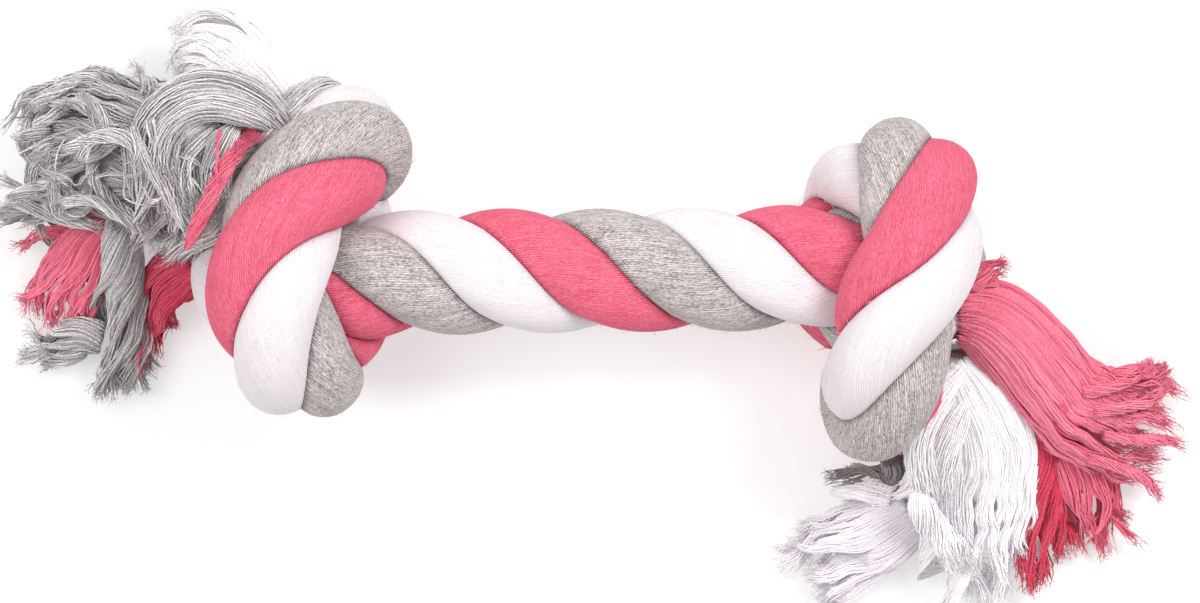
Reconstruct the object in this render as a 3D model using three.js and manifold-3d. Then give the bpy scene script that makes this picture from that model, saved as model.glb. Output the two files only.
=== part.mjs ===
// Rope dog toy. Three cotton strands, one grey, one white and one pink, are laid up right-handed
// into one thick rope. An overhand knot near each end keeps the lay, and beyond the knots the
// strands come apart into locks of loose yarn. The toy lies on the ground, which is Z = 0.
// Millimetres, +X along the rope, +Y away from the person who looks at it, +Z up.

import * as THREE from 'three';
import * as BufferGeometryUtils from 'three/addons/utils/BufferGeometryUtils.js';
import Module from 'manifold-3d';

const wasm = await Module();
wasm.setup();

// Rope and its strands
const strandDiameter = 19.2;
const strandOffset = 6;
const layLength = 70;
const ropeDiameter = 2 * strandOffset + strandDiameter;

// Places of the rope and of its knots
const knotSpacing = 151.2;
const ropeMiddleX = 2.2;
const ropeMiddleY = 7.3;
const ropeHeight = 41.5;
const rightKnotLift = 0.1;

// Lay of the strands: the grey strand's place at the middle, and the length of one turn in the open,
// on the passes under each knot, on the left knot's outer edge, over each face and behind it. Every
// stretch ends at its distance from the rope's middle.
const turnAtMiddle = 0.08;
const openHalfLength = 62;
const leftUnderEnd = 150;
const leftUnderLay = 67.5;
const leftEdgeEnd = 180;
const leftEdgeLay = 64;
const leftFaceEnd = 215;
const leftFaceLay = 77;
const leftBackLay = 82;
const rightUnderEnd = 142;
const rightUnderLay = 88.9;
const rightFaceEnd = 215;
const rightFaceLay = 80;
const rightBackLay = 70.5;
const leftLays = [
  [openHalfLength, layLength], [leftUnderEnd, leftUnderLay], [leftEdgeEnd, leftEdgeLay],
  [leftFaceEnd, leftFaceLay], [Infinity, leftBackLay],
];
const rightLays = [
  [openHalfLength, layLength], [rightUnderEnd, rightUnderLay], [rightFaceEnd, rightFaceLay],
  [Infinity, rightBackLay],
];

// Clearances and steps
const strandGap = 0.55;
const cutGap = 0.32;
const lineStep = 1.5;
const ringStep = 6;
const strandSides = 10;
const lockSides = 10;
const lockRings = 8;
const spanSteps = 24;
const bendShare = 0.8;

// Ground that the toy's underside is flattened by
const groundDepth = 60;
const groundSize = 900;

// Route of the rope, chosen by hand, in rope diameters from the middle of each knot:
// the left tail, the pass behind the rope, the turn on the right, up over the front,
// down the back, the turn on the left, and out as the rope. The right knot is its half-turn.
const leftKnotRouteShares = [
  [-0.30, 1.00, -0.06], [-0.04, 0.84, -0.10], [0.18, 0.60, -0.20], [0.26, 0.30, -0.42],
  [0.34, 0.04, -0.60], [0.22, -0.28, -0.58], [0.16, -0.68, -0.18], [-0.02, -0.80, 0.36],
  [-0.24, -0.42, 0.74], [-0.26, 0.02, 0.82], [-0.12, 0.45, 0.76], [0.26, 0.90, 0.48],
  [0.49, 1.06, -0.04], [0.24, 0.82, -0.68], [-0.10, 0.40, -1.02], [-0.32, 0.06, -0.92],
  [-0.44, -0.08, -0.46], [-0.28, -0.12, 0.00], [0.10, -0.10, 0.12], [0.60, -0.04, 0.08],
  [1.15, 0.00, 0.00],
];
const rightKnotRouteShares = [
  [-1.15, 0.00, 0.00], [-0.60, 0.04, 0.08], [-0.20, 0.10, 0.12], [0.10, 0.10, 0.00],
  [0.18, 0.04, -0.46], [0.14, -0.10, -0.94], [-0.06, -0.44, -1.02], [-0.16, -0.88, -0.70],
  [-0.20, -1.12, -0.06], [-0.18, -0.98, 0.48], [-0.16, -0.50, 0.76], [0.05, -0.04, 0.82],
  [0.16, 0.40, 0.74], [0.08, 0.78, 0.36], [-0.18, 0.72, -0.18], [-0.45, 0.40, -0.54],
  [-0.58, 0.04, -0.60], [-0.38, -0.28, -0.42], [0.00, -0.46, -0.20], [0.38, -0.58, -0.10],
];

// Colours of the yarn
const greyYarn = { color: 0xc3b8b5, roughness: 0.95, metalness: 0 };
const whiteYarn = { color: 0xf6f2f4, roughness: 0.95, metalness: 0 };
const pinkYarn = { color: 0xf0708a, roughness: 0.95, metalness: 0 };

const up = new THREE.Vector3(0, 0, 1);
const away = new THREE.Vector3(0, 1, 0);

// Middle of each knot, and a point of a route from its shares
const leftKnot = new THREE.Vector3(ropeMiddleX - knotSpacing / 2, ropeMiddleY, ropeHeight);
const rightKnot = new THREE.Vector3(
  ropeMiddleX + knotSpacing / 2, ropeMiddleY, ropeHeight + rightKnotLift);

function placed(knot, [x, y, z]) {
  return new THREE.Vector3(x, y, z).multiplyScalar(ropeDiameter).add(knot);
}

// A rope bends evenly, so a route is a uniform cubic B-spline of its points, which starts on the
// first point and ends on the last. A point is a list of numbers of any length.
function bspline(points, steps) {
  const mirrored = (a, b) => a.map((value, i) => 2 * value - b[i]);
  const last = points.length - 1;
  const p = [mirrored(points[0], points[1]), ...points, mirrored(points[last], points[last - 1])];
  const out = [];
  for (let i = 0; i < last; i++) {
    for (let k = 0; k < steps; k++) {
      const t = k / steps;
      const a = (1 - t) ** 3 / 6;
      const b = (3 * t ** 3 - 6 * t ** 2 + 4) / 6;
      const c = (-3 * t ** 3 + 3 * t ** 2 + 3 * t + 1) / 6;
      const d = t ** 3 / 6;
      out.push(p[i].map((_, n) => a * p[i][n] + b * p[i + 1][n] + c * p[i + 2][n] + d * p[i + 3][n]));
    }
  }
  out.push(points[last]);
  return out;
}

// Length along a line up to each of its points
function distances(line) {
  const along = [0];
  for (let i = 1; i < line.length; i++) {
    along.push(along[i - 1] + line[i].distanceTo(line[i - 1]));
  }
  return along;
}

// The same line with its points at even steps
function evenlySpaced(line, step) {
  const along = distances(line);
  const length = along[along.length - 1];
  const count = Math.round(length / step);
  const out = [];
  let from = 0;
  for (let i = 0; i <= count; i++) {
    const want = length * i / count;
    while (from < line.length - 2 && along[from + 1] < want) from++;
    const share = (want - along[from]) / (along[from + 1] - along[from]);
    out.push(line[from].clone().lerp(line[from + 1], share));
  }
  return out;
}

// Direction of a line at each point, with two directions square to it that are carried along
// the line without turning about it
function carriedFrames(line, firstSide) {
  const last = line.length - 1;
  const frames = [];
  let side = firstSide.clone();
  for (let i = 0; i <= last; i++) {
    const along = line[Math.min(i + 1, last)].clone().sub(line[Math.max(i - 1, 0)]).normalize();
    side = side.clone().addScaledVector(along, -side.dot(along)).normalize();
    frames.push({ along, side, rise: new THREE.Vector3().crossVectors(along, side) });
  }
  return frames;
}

// Closed solid over a row of rings of points: its walls, and a flat cap over each end
function loft(rings) {
  const sides = rings[0].length;
  const positions = [];
  rings.flat().forEach((point) => positions.push(point.x, point.y, point.z));
  const faces = [];
  for (let r = 0; r + 1 < rings.length; r++) {
    for (let k = 0; k < sides; k++) {
      const a = r * sides + k;
      const b = r * sides + (k + 1) % sides;
      faces.push(a, b, b + sides, a, b + sides, a + sides);
    }
  }
  const caps = [[0, true], [rings.length - 1, false]];
  for (const [ring, first] of caps) {
    const middle = positions.length / 3;
    const centre = new THREE.Vector3();
    rings[ring].forEach((point) => centre.add(point));
    centre.divideScalar(sides);
    positions.push(centre.x, centre.y, centre.z);
    for (let k = 0; k < sides; k++) {
      const a = ring * sides + k;
      const b = ring * sides + (k + 1) % sides;
      if (first) faces.push(middle, b, a);
      else faces.push(middle, a, b);
    }
  }
  const geometry = new THREE.BufferGeometry();
  geometry.setAttribute('position', new THREE.Float32BufferAttribute(positions, 3));
  geometry.setIndex(faces);
  return geometry;
}

// A geometry as a solid that can be cut, and back
function solidOf(geometry) {
  const bare = geometry.clone();
  bare.deleteAttribute('normal');
  bare.deleteAttribute('uv');
  const merged = BufferGeometryUtils.mergeVertices(bare);
  return new wasm.Manifold(new wasm.Mesh({
    numProp: 3,
    vertProperties: merged.getAttribute('position').array,
    triVerts: new Uint32Array(merged.getIndex().array),
  }));
}

function geometryOf(solid) {
  const mesh = solid.getMesh();
  const geometry = new THREE.BufferGeometry();
  geometry.setAttribute('position', new THREE.Float32BufferAttribute(mesh.vertProperties, 3));
  geometry.setIndex(Array.from(mesh.triVerts));
  geometry.computeVertexNormals();
  return geometry;
}

// Turn of the lay about the rope, in radians, at a distance from the rope's middle
function layTurn(distance) {
  const reach = Math.abs(distance);
  let turns = 0;
  let start = 0;
  (distance < 0 ? leftLays : rightLays).forEach(([end, lay]) => {
    turns += Math.max(0, Math.min(reach, end) - start) / lay;
    start = end;
  });
  return turnAtMiddle + Math.sign(distance) * 2 * Math.PI * turns;
}

// Centreline of the rope from the left tail to the right tail
function ropeLine() {
  const route = [
    ...leftKnotRouteShares.map((point) => placed(leftKnot, point).toArray()),
    ...rightKnotRouteShares.map((point) => placed(rightKnot, point).toArray()),
  ];
  const line = bspline(route, spanSteps).map((point) => new THREE.Vector3(...point));
  return evenlySpaced(line, lineStep);
}

// Centrelines of the three strands, wound about the rope's
function strandLines() {
  const line = ropeLine();
  const frames = carriedFrames(line, up);
  const along = distances(line);
  const nearMiddle = (point) => Math.abs(point.x - ropeMiddleX)
    + Math.abs(point.y - ropeMiddleY) + Math.abs(point.z - ropeHeight);
  let middle = 0;
  line.forEach((point, i) => {
    if (nearMiddle(point) < nearMiddle(line[middle])) middle = i;
  });
  const start = Math.atan2(away.dot(frames[middle].rise), away.dot(frames[middle].side));
  return [0, 2, 1].map((place) => line.map((point, i) => {
    const turn = start + layTurn(along[i] - along[middle]) + 2 * Math.PI * place / 3;
    return point.clone()
      .addScaledVector(frames[i].side, strandOffset * Math.cos(turn))
      .addScaledVector(frames[i].rise, strandOffset * Math.sin(turn));
  }));
}

// How far a strand's skin is from its centre in one direction. Strands are soft: where another
// pass or another strand presses on it, the skin lies halfway between the two centres.
function skinRadius(centre, direction, own, ownPlace, lines) {
  let radius = strandDiameter / 2;
  const reach = 2 * strandDiameter;
  lines.forEach((line, n) => {
    line.forEach((other, i) => {
      const near = n === own && Math.abs(i - ownPlace) * lineStep < strandDiameter / 4;
      if (near || centre.distanceTo(other) > reach) return;
      const towards = other.clone().sub(centre);
      const facing = direction.dot(towards);
      if (facing <= 0) return;
      const halfway = towards.lengthSq() / (2 * facing);
      const bend = n === own && Math.abs(i - ownPlace) * lineStep < strandDiameter;
      radius = Math.min(radius, bend ? bendShare * halfway : halfway - strandGap / 2);
    });
  });
  return radius;
}

// One strand. Its skin keeps inside the nearest of three readings, so flat facets stay clear too.
function strandSolid(own, lines, growth) {
  const line = lines[own];
  const frames = carriedFrames(line, up);
  const skip = Math.round(ringStep / lineStep);
  const count = Math.round((line.length - 1) / skip);
  const rings = [];
  for (let r = 0; r <= count; r++) {
    const i = Math.round((line.length - 1) * r / count);
    const ring = [];
    for (let k = 0; k < strandSides; k++) {
      const turn = 2 * Math.PI * k / strandSides;
      const direction = frames[i].side.clone().multiplyScalar(Math.cos(turn))
        .addScaledVector(frames[i].rise, Math.sin(turn));
      const readings = [i - 1, i, i + 1].map((n) => Math.min(Math.max(n, 0), line.length - 1));
      const radius = Math.min(...readings.map(
        (n) => skinRadius(line[n], direction, own, n, lines)));
      ring.push(line[i].clone().addScaledVector(direction, radius + growth));
    }
    rings.push(ring);
  }
  return solidOf(loft(rings));
}

// One lock of loose yarn: a flattened bundle along its own route. Each row of the route holds
// its place, half its width and half its thickness.
function lockSolid(lock, growth) {
  const rows = bspline(lock.routeShares, spanSteps);
  const points = rows.map((row) => placed(lock.knot, row));
  const last = rows.length - 1;
  const rings = [];
  for (let r = 0; r <= lockRings; r++) {
    const i = Math.round(last * r / lockRings);
    const along = points[Math.min(i + 1, last)].clone().sub(points[Math.max(i - 1, 0)]).normalize();
    const side = new THREE.Vector3().crossVectors(up, along).normalize();
    const rise = new THREE.Vector3().crossVectors(along, side);
    const halfWidth = rows[i][3] * ropeDiameter + growth;
    const halfThickness = rows[i][4] * ropeDiameter + growth;
    const ring = [];
    for (let k = 0; k < lockSides; k++) {
      const turn = 2 * Math.PI * (k + 0.5) / lockSides;
      ring.push(points[i].clone()
        .addScaledVector(side, halfWidth * Math.cos(turn))
        .addScaledVector(rise, halfThickness * Math.sin(turn)));
    }
    rings.push(ring);
  }
  const ends = [[0, 1], [rings.length - 1, rings.length - 2]];
  for (const [end, before] of ends) {
    const out = points[end ? last : 0].clone().sub(points[end ? last - 1 : 1]).normalize();
    rings[end].forEach((point) => point.addScaledVector(out, growth));
  }
  return solidOf(loft(rings));
}

// The ground, which flattens whatever would reach into it
function groundSolid() {
  const slab = new THREE.BoxGeometry(groundSize, groundSize, groundDepth);
  slab.translate(0, 0, -groundDepth / 2);
  return solidOf(slab);
}

// Largest of the separate bodies of a solid
function largestBody(solid) {
  const bodies = solid.decompose();
  return bodies.reduce((best, body) => (body.volume() > best.volume() ? body : best));
}

// Locks of yarn, each with its knot and its route in shares of the rope's diameter:
// across, away, up, half the width, half the thickness. An earlier lock lies over a later one.
const locks = [
  {
    name: 'left_pink_bundle',
    knot: leftKnot,
    yarn: pinkYarn,
    routeShares: [
      [-1.00, 0.05, -0.70, 0.06, 0.07], [-0.90, 0.25, -0.40, 0.06, 0.07],
      [-0.75, 0.50, 0.20, 0.06, 0.07], [-0.60, 0.80, 0.50, 0.06, 0.07],
      [-0.50, 1.00, 0.55, 0.06, 0.07], [-0.40, 1.10, 0.50, 0.06, 0.07],
    ],
  },
  {
    name: 'left_grey_wisp',
    knot: leftKnot,
    yarn: greyYarn,
    routeShares: [
      [-1.20, 1.35, 0.10, 0.05, 0.07], [-1.20, 1.45, 0.25, 0.05, 0.07],
      [-1.25, 1.55, 0.30, 0.06, 0.07], [-1.30, 1.65, 0.30, 0.05, 0.07],
    ],
  },
  {
    name: 'left_grey_curtain_lock',
    knot: leftKnot,
    yarn: greyYarn,
    routeShares: [
      [-0.15, 1.05, 0.20, 0.14, 0.14], [-0.38, 0.96, 0.25, 0.30, 0.18],
      [-0.64, 0.90, 0.18, 0.42, 0.18], [-0.82, 0.70, -0.05, 0.41, 0.16],
      [-0.90, 0.45, -0.35, 0.34, 0.14], [-0.95, 0.20, -0.60, 0.26, 0.13],
    ],
  },
  {
    name: 'left_grey_fringe_lock',
    knot: leftKnot,
    yarn: greyYarn,
    routeShares: [
      [-1.30, 1.15, 0.20, 0.16, 0.13], [-1.20, 0.90, 0.20, 0.22, 0.16],
      [-1.10, 0.60, 0.00, 0.26, 0.16], [-1.05, 0.35, -0.25, 0.27, 0.14],
      [-1.05, 0.10, -0.55, 0.24, 0.13],
    ],
  },
  {
    name: 'left_grey_arch_lock',
    knot: leftKnot,
    yarn: greyYarn,
    routeShares: [
      [-0.10, 1.15, 0.35, 0.11, 0.16], [-0.40, 1.40, 0.45, 0.21, 0.19],
      [-0.75, 1.40, 0.25, 0.26, 0.26], [-1.10, 1.25, 0.05, 0.22, 0.26],
      [-1.40, 1.35, -0.15, 0.24, 0.29], [-1.70, 1.40, -0.40, 0.27, 0.29],
      [-2.05, 1.30, -0.65, 0.24, 0.26], [-2.25, 0.95, -0.85, 0.14, 0.19],
    ],
  },
  {
    name: 'left_grey_roll_lock',
    knot: leftKnot,
    yarn: greyYarn,
    routeShares: [
      [-1.10, 0.95, -0.20, 0.24, 0.26], [-1.35, 0.85, -0.30, 0.30, 0.29],
      [-1.65, 0.75, -0.45, 0.30, 0.29], [-1.90, 0.65, -0.70, 0.27, 0.29],
      [-2.15, 0.55, -0.85, 0.21, 0.26], [-2.30, 0.50, -1.00, 0.11, 0.16],
    ],
  },
  {
    name: 'left_pink_wisp',
    knot: leftKnot,
    yarn: pinkYarn,
    routeShares: [
      [-1.80, 0.40, -0.90, 0.06, 0.08], [-1.95, 0.35, -0.95, 0.06, 0.08],
      [-2.10, 0.30, -1.05, 0.06, 0.08], [-2.30, 0.20, -1.10, 0.04, 0.08],
    ],
  },
  {
    name: 'left_pink_fan_lock',
    knot: leftKnot,
    yarn: pinkYarn,
    routeShares: [
      [-1.50, 0.35, -0.85, 0.16, 0.19], [-1.65, 0.30, -0.85, 0.21, 0.26],
      [-1.80, 0.05, -0.95, 0.27, 0.26], [-1.90, -0.15, -1.05, 0.32, 0.19],
      [-2.00, -0.40, -1.25, 0.29, 0.13],
    ],
  },
  {
    name: 'left_grey_hanging_lock',
    knot: leftKnot,
    yarn: greyYarn,
    routeShares: [
      [-1.40, 0.45, -0.50, 0.14, 0.22], [-1.45, 0.25, -0.65, 0.18, 0.26],
      [-1.45, -0.05, -0.85, 0.18, 0.26], [-1.45, -0.40, -0.95, 0.19, 0.26],
      [-1.45, -0.70, -1.05, 0.21, 0.22], [-1.45, -0.95, -1.20, 0.21, 0.16],
    ],
  },
  {
    name: 'left_grey_curl_lock',
    knot: leftKnot,
    yarn: greyYarn,
    routeShares: [
      [-1.60, -0.55, -1.00, 0.13, 0.19], [-1.80, -0.50, -1.00, 0.16, 0.22],
      [-1.90, -0.60, -1.05, 0.16, 0.22], [-2.05, -0.65, -1.10, 0.14, 0.19],
      [-2.20, -0.65, -1.15, 0.10, 0.16],
    ],
  },
  {
    name: 'left_pink_back_lock',
    knot: leftKnot,
    yarn: pinkYarn,
    routeShares: [
      [-0.75, 0.10, -0.65, 0.16, 0.22], [-0.95, 0.00, -0.85, 0.24, 0.26],
      [-1.10, -0.10, -0.95, 0.24, 0.26], [-1.20, -0.30, -1.05, 0.18, 0.22],
      [-1.20, -0.60, -1.20, 0.14, 0.16],
    ],
  },
  {
    name: 'left_grey_under_lock',
    knot: leftKnot,
    yarn: greyYarn,
    routeShares: [
      [-1.20, 1.15, -0.45, 0.27, 0.26], [-1.50, 1.00, -0.65, 0.34, 0.29],
      [-1.80, 0.95, -0.80, 0.35, 0.32], [-2.05, 0.75, -0.95, 0.30, 0.29],
      [-1.90, 0.50, -1.05, 0.29, 0.26], [-1.60, 0.40, -1.05, 0.24, 0.22],
    ],
  },
  {
    name: 'left_white_puff_lock',
    knot: leftKnot,
    yarn: whiteYarn,
    routeShares: [
      [-0.10, 1.30, -0.20, 0.13, 0.22], [-0.30, 1.45, -0.25, 0.27, 0.29],
      [-0.50, 1.60, -0.40, 0.38, 0.32], [-0.70, 1.75, -0.60, 0.42, 0.29],
      [-0.90, 1.90, -0.80, 0.34, 0.19],
    ],
  },
  {
    name: 'right_pink_top_tuft',
    knot: rightKnot,
    yarn: pinkYarn,
    routeShares: [
      [0.55, -0.15, 0.20, 0.07, 0.13], [0.65, 0.00, 0.25, 0.09, 0.13],
      [0.80, 0.05, 0.20, 0.06, 0.10],
    ],
  },
  {
    name: 'right_pink_main_lock',
    knot: rightKnot,
    yarn: pinkYarn,
    routeShares: [
      [0.40, -0.35, 0.05, 0.24, 0.29], [0.65, -0.35, 0.05, 0.35, 0.35],
      [0.95, -0.60, -0.15, 0.37, 0.35], [1.20, -0.95, -0.40, 0.37, 0.32],
      [1.50, -1.20, -0.65, 0.40, 0.29], [1.80, -1.30, -0.90, 0.46, 0.22],
      [2.10, -1.40, -1.20, 0.42, 0.16],
    ],
  },
  {
    name: 'right_white_main_lock',
    knot: rightKnot,
    yarn: whiteYarn,
    routeShares: [
      [0.35, -0.65, -0.15, 0.16, 0.26], [0.45, -0.90, -0.25, 0.34, 0.32],
      [0.60, -1.20, -0.45, 0.42, 0.32], [0.70, -1.50, -0.70, 0.43, 0.29],
      [0.70, -1.85, -0.90, 0.38, 0.26], [0.70, -2.20, -1.05, 0.35, 0.22],
      [0.70, -2.50, -1.20, 0.30, 0.16],
    ],
  },
  {
    name: 'right_white_fold_lock',
    knot: rightKnot,
    yarn: whiteYarn,
    routeShares: [
      [0.30, -0.75, -0.05, 0.10, 0.22], [0.20, -1.00, -0.20, 0.13, 0.22],
      [0.10, -1.25, -0.40, 0.16, 0.22], [0.10, -1.50, -0.60, 0.16, 0.22],
      [0.15, -1.75, -0.80, 0.13, 0.19],
    ],
  },
  {
    name: 'right_pink_corner_lock',
    knot: rightKnot,
    yarn: pinkYarn,
    routeShares: [
      [1.60, -0.90, -0.65, 0.11, 0.16], [1.80, -0.90, -0.70, 0.13, 0.19],
      [1.95, -0.85, -0.80, 0.14, 0.19], [2.05, -0.80, -0.85, 0.11, 0.13],
    ],
  },
  {
    name: 'right_pink_fringe_lock',
    knot: rightKnot,
    yarn: pinkYarn,
    routeShares: [
      [1.30, -1.40, -0.80, 0.19, 0.19], [1.45, -1.70, -0.95, 0.26, 0.19],
      [1.55, -1.90, -1.05, 0.27, 0.19], [1.60, -2.15, -1.25, 0.21, 0.13],
    ],
  },
  {
    name: 'right_pink_dark_lock',
    knot: rightKnot,
    yarn: pinkYarn,
    routeShares: [
      [0.90, -1.05, -0.60, 0.13, 0.19], [1.05, -1.30, -0.75, 0.16, 0.22],
      [1.15, -1.55, -0.90, 0.18, 0.22], [1.10, -1.85, -1.00, 0.18, 0.22],
      [1.15, -2.15, -1.05, 0.21, 0.19], [1.20, -2.45, -1.25, 0.21, 0.13],
    ],
  },
  {
    name: 'right_white_twist_lock',
    knot: rightKnot,
    yarn: whiteYarn,
    routeShares: [
      [0.20, -1.70, -0.80, 0.13, 0.22], [0.20, -1.95, -0.85, 0.19, 0.22],
      [0.30, -2.20, -1.00, 0.21, 0.22], [0.45, -2.40, -1.10, 0.21, 0.19],
      [0.55, -2.55, -1.20, 0.16, 0.16],
    ],
  },
  {
    name: 'right_white_curl_lock',
    knot: rightKnot,
    yarn: whiteYarn,
    routeShares: [
      [-0.05, -1.85, -0.80, 0.11, 0.16], [-0.20, -1.80, -0.85, 0.14, 0.19],
      [-0.35, -1.85, -0.90, 0.14, 0.19], [-0.45, -1.95, -1.05, 0.11, 0.13],
    ],
  },
  {
    name: 'right_grey_lock',
    knot: rightKnot,
    yarn: greyYarn,
    routeShares: [
      [-0.10, -1.45, -0.70, 0.11, 0.16], [0.00, -1.65, -0.85, 0.13, 0.16],
      [-0.15, -1.70, -0.95, 0.12, 0.16], [-0.35, -1.70, -0.95, 0.13, 0.16],
      [-0.50, -1.75, -1.05, 0.13, 0.13],
    ],
  },
  {
    name: 'right_white_fan_lock',
    knot: rightKnot,
    yarn: whiteYarn,
    routeShares: [
      [0.10, -1.90, -0.90, 0.22, 0.26], [-0.10, -2.00, -0.95, 0.30, 0.26],
      [-0.35, -2.10, -1.00, 0.34, 0.26], [-0.55, -2.25, -1.05, 0.35, 0.19],
      [-0.75, -2.35, -1.25, 0.27, 0.13],
    ],
  },
];

const toy = new THREE.Group();

function addPiece(name, solid, yarn) {
  const mesh = new THREE.Mesh(geometryOf(solid), new THREE.MeshStandardMaterial(yarn));
  mesh.name = name;
  toy.add(mesh);
}

const ground = groundSolid();
const lines = strandLines();
const strands = [['strand_grey', greyYarn], ['strand_white', whiteYarn], ['strand_pink', pinkYarn]];
let taken = ground;
strands.forEach(([name, yarn], own) => {
  addPiece(name, largestBody(strandSolid(own, lines, 0).subtract(taken)), yarn);
  taken = taken.add(strandSolid(own, lines, cutGap));
});
locks.forEach((lock) => {
  addPiece(lock.name, largestBody(lockSolid(lock, 0).subtract(taken)), lock.yarn);
  taken = taken.add(lockSolid(lock, cutGap));
});

export default toy;
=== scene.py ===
"""Rope dog toy: three cotton strands laid into a thick rope with two knots and loose yarn ends."""
import math
from functools import partial

import bmesh
import bpy
import numpy as np
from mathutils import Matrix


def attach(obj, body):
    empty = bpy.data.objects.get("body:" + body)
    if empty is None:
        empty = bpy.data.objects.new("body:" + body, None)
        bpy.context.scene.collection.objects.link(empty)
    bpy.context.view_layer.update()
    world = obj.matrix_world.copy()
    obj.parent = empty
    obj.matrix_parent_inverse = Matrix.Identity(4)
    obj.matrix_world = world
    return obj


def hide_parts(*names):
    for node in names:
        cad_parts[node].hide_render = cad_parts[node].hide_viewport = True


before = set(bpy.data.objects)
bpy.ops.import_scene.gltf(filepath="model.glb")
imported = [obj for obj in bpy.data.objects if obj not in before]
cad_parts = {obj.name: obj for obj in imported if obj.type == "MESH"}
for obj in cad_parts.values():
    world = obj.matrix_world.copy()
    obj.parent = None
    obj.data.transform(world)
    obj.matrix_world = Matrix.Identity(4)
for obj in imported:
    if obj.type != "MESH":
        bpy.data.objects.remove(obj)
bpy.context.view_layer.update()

# Sizes in metres, as in the part's source
STRAND_DIAMETER = 0.0192
STRAND_OFFSET = 0.006
ROPE_DIAMETER = 2 * STRAND_OFFSET + STRAND_DIAMETER
KNOT_SPACING = 0.1512
ROPE_MIDDLE = np.array([0.0022, 0.0073, 0.0415])
RIGHT_LIFT = np.array([0, 0, 0.0001])
LEFT_KNOT = ROPE_MIDDLE - np.array([KNOT_SPACING / 2, 0, 0])
RIGHT_KNOT = ROPE_MIDDLE + np.array([KNOT_SPACING / 2, 0, 0]) + RIGHT_LIFT

# Lay of the strands: the grey strand's turn at the middle, the length of one turn up to each distance
# from the middle, and where the grey, the white and the pink strand lie, in thirds of a turn
TURN_AT_MIDDLE = 0.08
LEFT_LAYS = ((0.062, 0.070), (0.150, 0.0675), (0.180, 0.0640), (0.215, 0.077), (1.0, 0.082))
RIGHT_LAYS = ((0.062, 0.070), (0.142, 0.0889), (0.215, 0.080), (1.0, 0.0705))
STRAND_THIRDS = (0, 2, 1)

# Lines along the route and through the locks
SPLINE_STEPS = 24
ROUTE_STEP = 0.001
UP = np.array([0.0, 0.0, 1.0])
AWAY = np.array([0.0, 1.0, 0.0])
TINY = 1e-12

# Yarns and fibres
YARN_RADIUS = 0.00025
YARN_SIDES = 3
YARNS_ROUND_STRAND = 92
FIBRE_POINTS = 3
FIBRE_REACH = (0.0006, 0.0016)
FIBRE_BEND = 0.4
FLOOR_GAP = 0.0001

# Seeds of the strands and locks, and of the small bundles
SEED = 7
STRAY_SEED = 21

# Camera straight above the toy: place in metres, lens and sensor in millimetres
CAMERA_PLACE = (0.001575, -0.00045, 4.0)
CAMERA_LENS = 475
CAMERA_SENSOR = 36

# Lamps: name, place and size in metres, and power in watts
LAMPS = (
    ("key", (0.65, 0.50, 1.3), 0.45, 12.8),
    ("fill", (-0.65, 0.1, 1.2), 0.7, 7.3),
)

# The world's light on the toy, and the floor with its own light, to which the camera sees more added
WORLD_LEVEL = 0.64
FLOOR_HALF_SIZE = 3.0
FLOOR_COLOUR = (0.62, 0.62, 0.62, 1)
FLOOR_ROUGHNESS = 0.9
FLOOR_GLOW = 0.28
FLOOR_GLOW_SEEN = 0.15
WHITE = (1, 1, 1, 1)

# Cotton packed in the strands and in the middle of the locks, in linear colours. The shade colour is
# painted shade, towards which the colour is multiplied near grooves, and groove is how dark the painted
# shade in the grooves between yarns is. Sheen is the light on its nap, and painted glow is painted light
# that it gives off, as a share of its colour.
PACKED = {
    "grey_yarn": dict(
        light=(0.74, 0.67, 0.66, 1), dark=(0.22, 0.20, 0.20, 1), fleck=(0.92, 0.87, 0.83, 1),
        shade_colour=(0.45, 0.43, 0.43, 1), contrast=1.45, fleck_amount=0.6, groove=0.42, sheen=0.25, painted_glow=0.0),
    "white_yarn": dict(
        light=(0.885, 0.835, 0.86, 1), dark=(0.75, 0.69, 0.725, 1), fleck=(0.94, 0.92, 0.94, 1),
        shade_colour=(0.80, 0.73, 0.77, 1), contrast=1.1, fleck_amount=0.4, groove=0.18, sheen=0.25, painted_glow=0.0),
    "pink_yarn": dict(
        light=(0.90, 0.20, 0.30, 1), dark=(0.67, 0.076, 0.139, 1), fleck=(0.95, 0.42, 0.50, 1),
        shade_colour=(0.58, 0.22, 0.30, 1), contrast=1.3, fleck_amount=0.3, groove=0.38, sheen=0.25, painted_glow=0.0),
}

# Cotton of the loose yarns. Here the shade colour is painted shade on yarns that lie far inside a lock
# and on locks that lie in shade, and the darker tone of some yarns at random. Groove sets the spread of
# tone from yarn to yarn and the painted light and shade along the plies.
LOOSE = {
    "grey_yarn": dict(
        light=(0.97, 0.94, 0.94, 1), dark=(0.57, 0.535, 0.535, 1), fleck=(0.98, 0.96, 0.95, 1),
        shade_colour=(0.34, 0.315, 0.315, 1), contrast=1.8, fleck_amount=0.5, groove=0.50, sheen=0.8, painted_glow=0.03),
    "white_yarn": dict(
        light=(0.97, 0.96, 0.97, 1), dark=(0.92, 0.89, 0.92, 1), fleck=(0.98, 0.98, 0.98, 1),
        shade_colour=(0.86, 0.82, 0.85, 1), contrast=1.0, fleck_amount=0.4, groove=0.05, sheen=0.8, painted_glow=0.12),
    "pink_yarn": dict(
        light=(0.98, 0.37, 0.51, 1), dark=(0.95, 0.21, 0.32, 1), fleck=(0.98, 0.50, 0.60, 1),
        shade_colour=(0.76, 0.16, 0.24, 1), contrast=1.0, fleck_amount=0.3, groove=0.10, sheen=1.0, painted_glow=0.05),
}

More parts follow.
